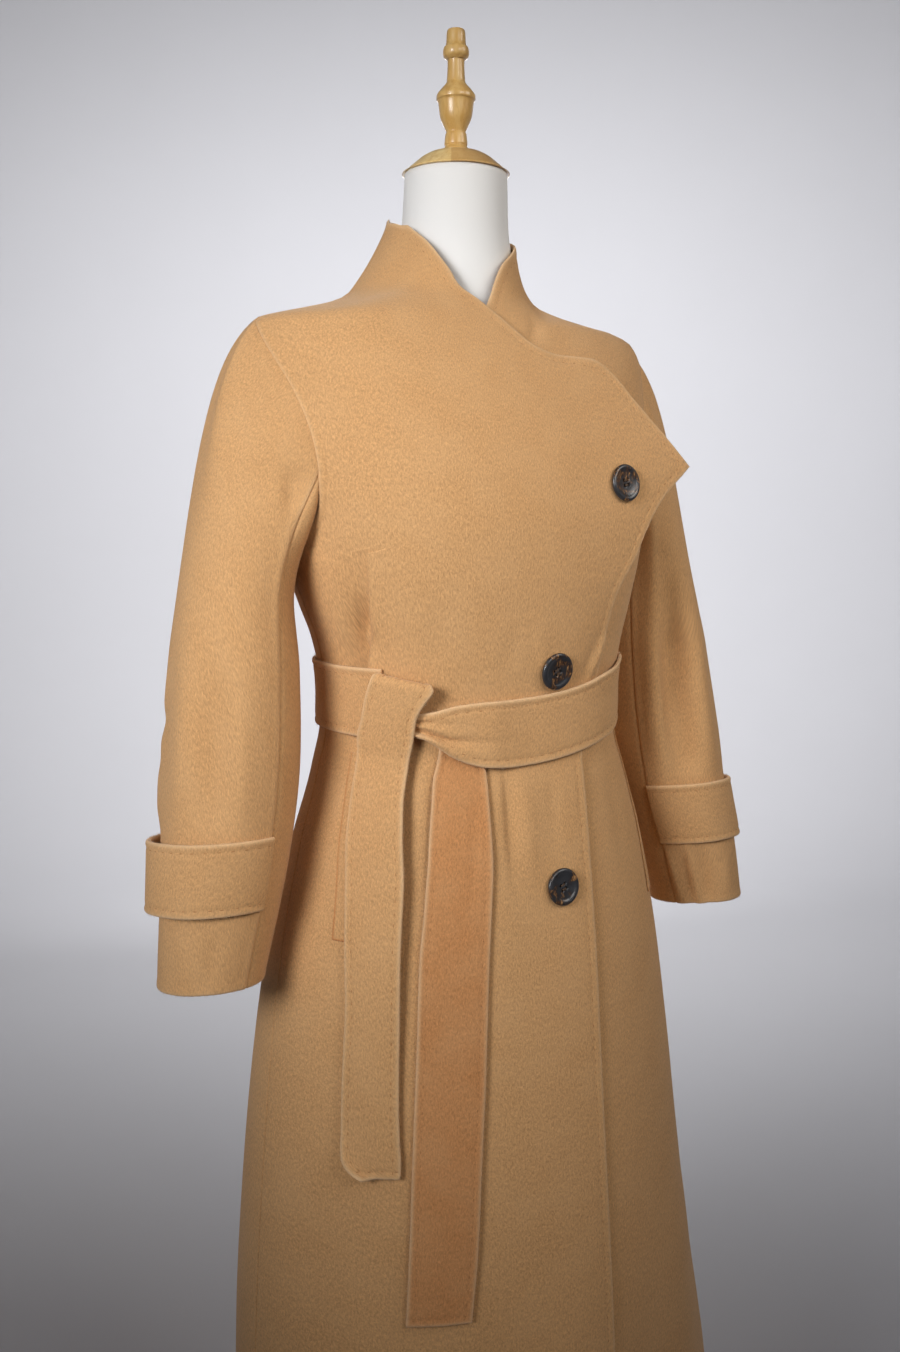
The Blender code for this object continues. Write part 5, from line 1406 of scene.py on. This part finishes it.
# Buttons
# Three dished four-hole buttons turned from dark marbled horn, each sewn to the right front with two bars of
# dark thread. Each takes the place and tilt of its solid.
BUTTON_HOLE = 0.00125
BUTTON_SPREAD = 0.0030
HOLE_DEPTH = 0.0024
HOLE_RIM = (0.8, 0.45)    # parts of a hole's radius where its wall begins, and that it takes
BUTTON_FACE = 0.002       # the holes are sunk in what lies above this height
# Half section of a button: radius and height
BUTTON_PROFILE = ((0.0, 0.0), (0.0120, 0.0), (0.0148, 0.0004), (0.0163, 0.0013), (0.0168, 0.0027), (0.0164, 0.0040),
                  (0.0154, 0.0047), (0.0142, 0.0049), (0.0128, 0.0046), (0.0110, 0.0039), (0.0085, 0.0035),
                  (0.0055, 0.0033), (0.0, 0.0032))
BUTTON_TURNS = {"button_top": 10.0, "button_middle": 35.0, "button_lower": 20.0}
BUTTON_STEPS = 72
HORN_DARK = (0.010, 0.009, 0.010, 1.0)
HORN_GREY = (0.030, 0.031, 0.035, 1.0)
HORN_BROWN = (0.105, 0.045, 0.016, 1.0)
HORN_TAN = (0.360, 0.190, 0.075, 1.0)
BUTTON_THREAD = (0.045, 0.024, 0.012, 1.0)
# Bars of thread between the holes: radius, sides, steps, the lanes of each pair, and their lowest height and rise
BAR_RADIUS = 0.00042
BAR_SIDES = 8
BAR_STEPS = 13
BAR_LANES = (-0.0004, 0.0004)
BAR_FOOT = 0.0020
BAR_RISE = 0.0019


def smooth_profile(rows, per):
    """A Catmull-Rom curve through a profile's points, with per steps between neighbours."""
    rows = np.array(rows, float)
    ends = np.vstack([2 * rows[0] - rows[1], rows, 2 * rows[-1] - rows[-2]])
    t = np.linspace(0.0, 1.0, per, endpoint=False)[None, :, None]
    a, b, c, d = [ends[k:len(ends) - 3 + k, None] for k in range(4)]
    curve = 0.5 * (2 * b + (c - a) * t + (2 * a - 5 * b + 4 * c - d) * t ** 2 + (3 * b - a - 3 * c + d) * t ** 3)
    curve = np.vstack([curve.reshape(-1, rows.shape[1]), rows[-1:]])
    curve[:, 0] = np.maximum(curve[:, 0], 0.0)
    return curve


def turn_points(profile, steps):
    """Rings of a radius and height profile turned round the upright axis, with a single point at each end."""
    spin = np.linspace(0.0, math.tau, steps, endpoint=False)
    rings = profile[1:-1]
    radius = rings[:, 0:1]
    points = np.stack([radius * np.cos(spin), radius * np.sin(spin), rings[:, 1:2] + 0.0 * spin], -1).reshape(-1, 3)
    ends = [[0.0, 0.0, profile[0, 1]], [0.0, 0.0, profile[-1, 1]]]
    return np.vstack([points, ends]), *closed_rings(len(rings), steps)


def seat_of(node):
    """Middle of a button's underside, and its directions across, up and out, from the spread of its solid's points."""
    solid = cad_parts[node]
    spots = np.empty(3 * len(solid.data.vertices), np.float32)
    solid.data.vertices.foreach_get("co", spots)
    spots = spots.reshape(-1, 3).astype(float)
    low, high = [np.array(k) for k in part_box(node)]
    middle = 0.5 * (low + high)
    out = np.linalg.svd(spots - spots.mean(0), full_matrices=False)[2][2]
    out = -out if out[1] > 0 else out
    across = unit(np.cross((0.0, 0.0, 1.0), out))
    depth = (spots - middle) @ out
    return middle + depth.min() * out, np.stack([across, np.cross(out, across), out])


def horn():
    """Polished dark horn: near black with grey clouds, brown streaks and a few tan flecks."""
    material, node, shade = painter("marbled_horn")
    place = node("TexCoord", output="Object")
    cloud = node("TexNoise", {"Vector": place, "Scale": 75.0, "Detail": 3.0, "Distortion": 0.8})
    stretch = node("Mapping", {"Vector": place, "Scale": (1.0, 1.0, 0.35), "Rotation": (0.5, 0.9, 0.3)})
    streak = node("TexNoise", {"Vector": stretch, "Scale": 420.0, "Detail": 4.0, "Distortion": 1.2})
    grey = node("MapRange", {"Value": cloud, "From Min": 0.40, "From Max": 0.62})
    base = node("MixRGB", {"Fac": grey, "Color1": HORN_DARK, "Color2": HORN_GREY})
    brown = node("MapRange", {"Value": cloud, "From Min": 0.52, "From Max": 0.42})
    veins = node("MapRange", {"Value": streak, "From Min": 0.42, "From Max": 0.56})
    warm = node("Math", {0: brown, 1: veins}, operation="MULTIPLY")
    browned = node("MixRGB", {"Fac": warm, "Color1": base, "Color2": HORN_BROWN})
    fleck = node("MapRange", {"Value": streak, "From Min": 0.56, "From Max": 0.64})
    flecks = node("Math", {0: fleck, 1: brown}, operation="MULTIPLY")
    tinted = node("MixRGB", {"Fac": flecks, "Color1": browned, "Color2": HORN_TAN})
    bump = node("Bump", {"Height": streak, "Strength": 0.08, "Distance": 0.0004})
    shade({"Base Color": tinted, "Normal": bump, "Roughness": 0.32, "Coat Weight": 0.25, "Coat Roughness": 0.2})
    return material


def thread_bar(path, up):
    """A thread: a circle carried along a path, closed by a point at each end."""
    along = unit(np.gradient(path, axis=0))
    across = unit(np.cross(along, up + 0.0 * along))
    other = np.cross(across, along)
    spin = np.linspace(0.0, math.tau, BAR_SIDES, endpoint=False)[:, None]
    ring = path[:, None] + BAR_RADIUS * (np.cos(spin) * across[:, None] + np.sin(spin) * other[:, None])
    return np.vstack([ring.reshape(-1, 3), path[[0, -1]]]), *closed_rings(len(path), BAR_SIDES)


polished = horn()
bars = []
for name, turn in BUTTON_TURNS.items():
    seat, axes = seat_of(name)
    points, quads, tris = turn_points(smooth_profile(BUTTON_PROFILE, 7), BUTTON_STEPS)
    holes = np.radians(turn + 45.0 + 90.0 * np.arange(4))
    holes = BUTTON_SPREAD * np.stack([np.cos(holes), np.sin(holes)], -1)
    away = np.linalg.norm(points[:, None, :2] - holes, axis=-1).min(1)
    pit = 1.0 - ease((away - HOLE_RIM[0] * BUTTON_HOLE) / (HOLE_RIM[1] * BUTTON_HOLE))
    points[:, 2] -= HOLE_DEPTH * pit * (points[:, 2] > BUTTON_FACE)
    button = mesh_of(name + "_turned", seat + points @ axes, quads, tris)
    fit(button, polished, name)
    run = np.linspace(0.0, 1.0, BAR_STEPS)[:, None]
    for a, b in ((0, 1), (3, 2)):
        for lane in BAR_LANES:
            rise = BAR_FOOT + BAR_RISE * np.sin(np.pi * run) ** 0.6
            path = np.hstack([holes[a] + (holes[b] - holes[a]) * run, rise])
            path[:, :2] += lane * unit(holes[3] - holes[0])
            bars.append(thread_bar(seat + path @ axes, axes[2]))
shift = np.concatenate([[0], np.cumsum([len(k[0]) for k in bars])[:-1]])
sewing = mesh_of("button_threads", np.vstack([k[0] for k in bars]),
                 *[np.vstack([k[face] + s for k, s in zip(bars, shift)]) for face in (1, 2)])
sewing.data.materials.append(speckled("button_thread", BUTTON_THREAD, toned(BUTTON_THREAD, 2.4), 2500.0, 1.0,
                                      {"Roughness": 0.7}))
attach(sewing, "root")

# Dress form
# A smooth limbless torso covered in tight white jersey, from the hips to the cut neck. Only its neck shows.
FORM_AROUND = 112
FORM_LEVELS = 150
# Torso: height, half width, y of its front, back and middle, fullness of the oval
FORM = (
    (0.735, 0.1500, -0.115, 0.085, -0.020, 2.1),
    (0.800, 0.1600, -0.125, 0.094, -0.020, 2.1),
    (0.860, 0.1560, -0.124, 0.094, -0.020, 2.1),
    (0.930, 0.1370, -0.113, 0.084, -0.020, 2.1),
    (1.020, 0.1180, -0.104, 0.070, -0.020, 2.1),
    (1.080, 0.1250, -0.112, 0.077, -0.018, 2.1),
    (1.150, 0.1420, -0.129, 0.089, -0.014, 2.1),
    (1.200, 0.1520, -0.134, 0.095, -0.010, 2.1),
    (1.260, 0.1600, -0.123, 0.097, -0.005, 2.1),
    (1.310, 0.1650, -0.104, 0.093, 0.000, 2.0),
    (1.345, 0.1620, -0.084, 0.086, 0.005, 2.0),
    (1.362, 0.1510, -0.074, 0.080, 0.008, 1.9),
    (1.370, 0.1330, -0.069, 0.078, 0.010, 1.9),
    (1.376, 0.1120, -0.066, 0.077, 0.012, 1.9),
    (1.382, 0.0930, -0.063, 0.075, 0.014, 1.9),
    (1.390, 0.0775, -0.060, 0.074, 0.013, 1.9),
    (1.397, 0.0700, -0.058, 0.072, 0.010, 2.0),
    (1.405, 0.0640, -0.057, 0.069, 0.006, 2.0),
    (1.418, 0.0588, -0.0550, 0.0630, 0.004, 2.0),
    (1.435, 0.0540, -0.0510, 0.0585, 0.0035, 2.0),
    (1.460, 0.0498, -0.0482, 0.0530, 0.0020, 2.0),
    (1.5090, 0.0474, -0.0474, 0.0474, 0.000, 2.0),
)
JERSEY = (0.785, 0.775, 0.750, 1.0)
rows = table(FORM)
rows = np.column_stack([rows[:, :2], rows[:, 1:]])   # as wide to the left as to the right
spin, height = np.meshgrid(np.linspace(0.0, math.tau, FORM_AROUND, endpoint=False),
                           np.linspace(rows[0, 0], rows[-1, 0], FORM_LEVELS))
x, y = oval(rows, spin, height)
points = np.vstack([np.stack([x, y, height], -1).reshape(-1, 3),
                    [[0.0, -0.01, rows[0, 0]], [0.0, 0.0, rows[-1, 0]]]])
torso = mesh_of("form_torso_jersey", points, *closed_rings(FORM_LEVELS, FORM_AROUND))
jersey, node, shade = painter("white_jersey")
place = node("TexCoord", output="Object")
knit = node("Mapping", {"Vector": place, "Scale": (1.0, 1.0, 0.6)})
loops = node("TexNoise", {"Vector": knit, "Scale": 1400.0, "Detail": 2.0})
soft = node("TexNoise", {"Vector": place, "Scale": 14.0, "Detail": 2.0})
tint = node("MixRGB", {"Fac": soft, "Color1": JERSEY, "Color2": toned(JERSEY, 0.965)})
bump = node("Bump", {"Height": loops, "Strength": 0.12, "Distance": 0.0003})
shade({"Base Color": tint, "Normal": bump, "Roughness": 0.75, "Sheen Weight": 0.1})
fit(torso, jersey, "form_torso")

# Neck cap, finial, pole and base
# Turned pale wood under a clear satin varnish: a low domed cap glued up from two blocks, a finial screwed into it,
# and the stand's pole and round base.
TURN_AROUND = 84
# Turned pieces: radius and height up the axis
NECK_CAP = ((0.0, 1.5093), (0.0462, 1.5093), (0.0470, 1.5106), (0.0456, 1.5126), (0.0397, 1.5176),
            (0.0313, 1.5242), (0.0206, 1.5286), (0.0, 1.5303))
FINIAL = ((0.0, 1.5306), (0.0125, 1.5306), (0.0110, 1.5332), (0.0102, 1.5350), (0.0107, 1.5368),
          (0.0098, 1.5452), (0.0090, 1.5470), (0.0110, 1.5520), (0.0145, 1.5602), (0.0164, 1.5730),
          (0.0178, 1.5752), (0.0180, 1.5772), (0.0174, 1.5800), (0.0134, 1.5850), (0.0096, 1.5893),
          (0.0084, 1.5930), (0.0077, 1.6085), (0.0088, 1.6104), (0.0114, 1.6131), (0.0120, 1.6168),
          (0.0112, 1.6206), (0.0092, 1.6236), (0.0084, 1.6341), (0.0064, 1.6365), (0.0, 1.6372))
POLE_RADIUS = 0.0140
POLE_MIDDLE = 0.40
POLE_BEVEL = (0.0008, 0.0010)   # across and along
BLOCK_TURN = math.radians(27.5)    # direction of the joint between the cap's blocks, and where it lies
BLOCK_JOINT = (-0.0049, -0.0041)
BASE = ((0.0, 0.0), (0.1680, 0.0), (0.1700, 0.0030), (0.1700, 0.0190), (0.1660, 0.0240), (0.1200, 0.0290),
        (0.0500, 0.0340), (0.0330, 0.0400), (0.0300, 0.0600), (0.0, 0.0600))
WOOD = (0.600, 0.345, 0.095, 1.0)
WOOD_DARK = (0.430, 0.205, 0.050, 1.0)
WOOD_PALE = (0.700, 0.455, 0.165, 1.0)
# Paler colours for the cap: painted light, standing in for the light that falls on its upturned top.
CAP_PAINTED_LIGHT = (0.850, 0.640, 0.290, 1.0)


def varnished(name, blocks):
    """Pale wood with lengthwise grain and pores under varnish; a glued-up piece has a redder block on one side, and
    paler colours as painted light on its upturned top.
    """
    material, node, shade = painter(name)
    place = node("TexCoord", output="Object")
    grain = node("Mapping", {"Vector": place, "Scale": (1.0, 1.0, 0.07)})
    bands = node("TexNoise", {"Vector": grain, "Scale": 170.0, "Detail": 4.0, "Distortion": 0.7})
    pores = node("TexNoise", {"Vector": grain, "Scale": 900.0, "Detail": 2.0})
    light = node("MapRange", {"Value": bands, "From Min": 0.34, "From Max": 0.66})
    # The glued-up cap takes paler colours: painted light on its upturned top.
    deep, pale = (WOOD_PALE, CAP_PAINTED_LIGHT) if blocks else (WOOD, WOOD_PALE)
    tint = node("MixRGB", {"Fac": light, "Color1": deep, "Color2": pale})
    fine = node("MapRange", {"Value": pores, "From Min": 0.56, "From Max": 0.70, "To Max": 0.35})
    colour = node("MixRGB", {"Fac": fine, "Color1": tint, "Color2": WOOD_DARK})
    if blocks:
        turned = node("Mapping", {"Vector": place, "Rotation": (0.0, 0.0, BLOCK_TURN)})
        across = node("SeparateXYZ", {"Vector": turned}, "X")
        second = node("MapRange", {"Value": across, "From Min": BLOCK_JOINT[0], "From Max": BLOCK_JOINT[1],
                                   "To Max": 0.6})
        colour = node("MixRGB", {"Fac": second, "Color1": colour, "Color2": WOOD_DARK})
    bump = node("Bump", {"Height": bands, "Strength": 0.06, "Distance": 0.0004})
    shade({"Base Color": colour, "Normal": bump, "Roughness": 0.38, "Coat Weight": 0.45, "Coat Roughness": 0.16})
    return material


glued = varnished("varnished_blocks", True)
plain = varnished("varnished_wood", False)
foot = BASE[-1][1] + SEAM
head = FORM[0][0] - SEAM
pole = ((0.0, foot), (POLE_RADIUS - POLE_BEVEL[0], foot), (POLE_RADIUS, foot + POLE_BEVEL[1]),
        (POLE_RADIUS, POLE_MIDDLE), (POLE_RADIUS, head - POLE_BEVEL[1]), (POLE_RADIUS - POLE_BEVEL[0], head),
        (0.0, head))
for name, profile, per, material in (("neck_cap", NECK_CAP, 6, glued), ("finial", FINIAL, 5, plain),
                                     ("pole", pole, 1, plain), ("base", BASE, 6, plain)):
    piece = mesh_of(name + "_turned", *turn_points(smooth_profile(profile, per), TURN_AROUND))
    fit(piece, material, name)

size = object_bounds()
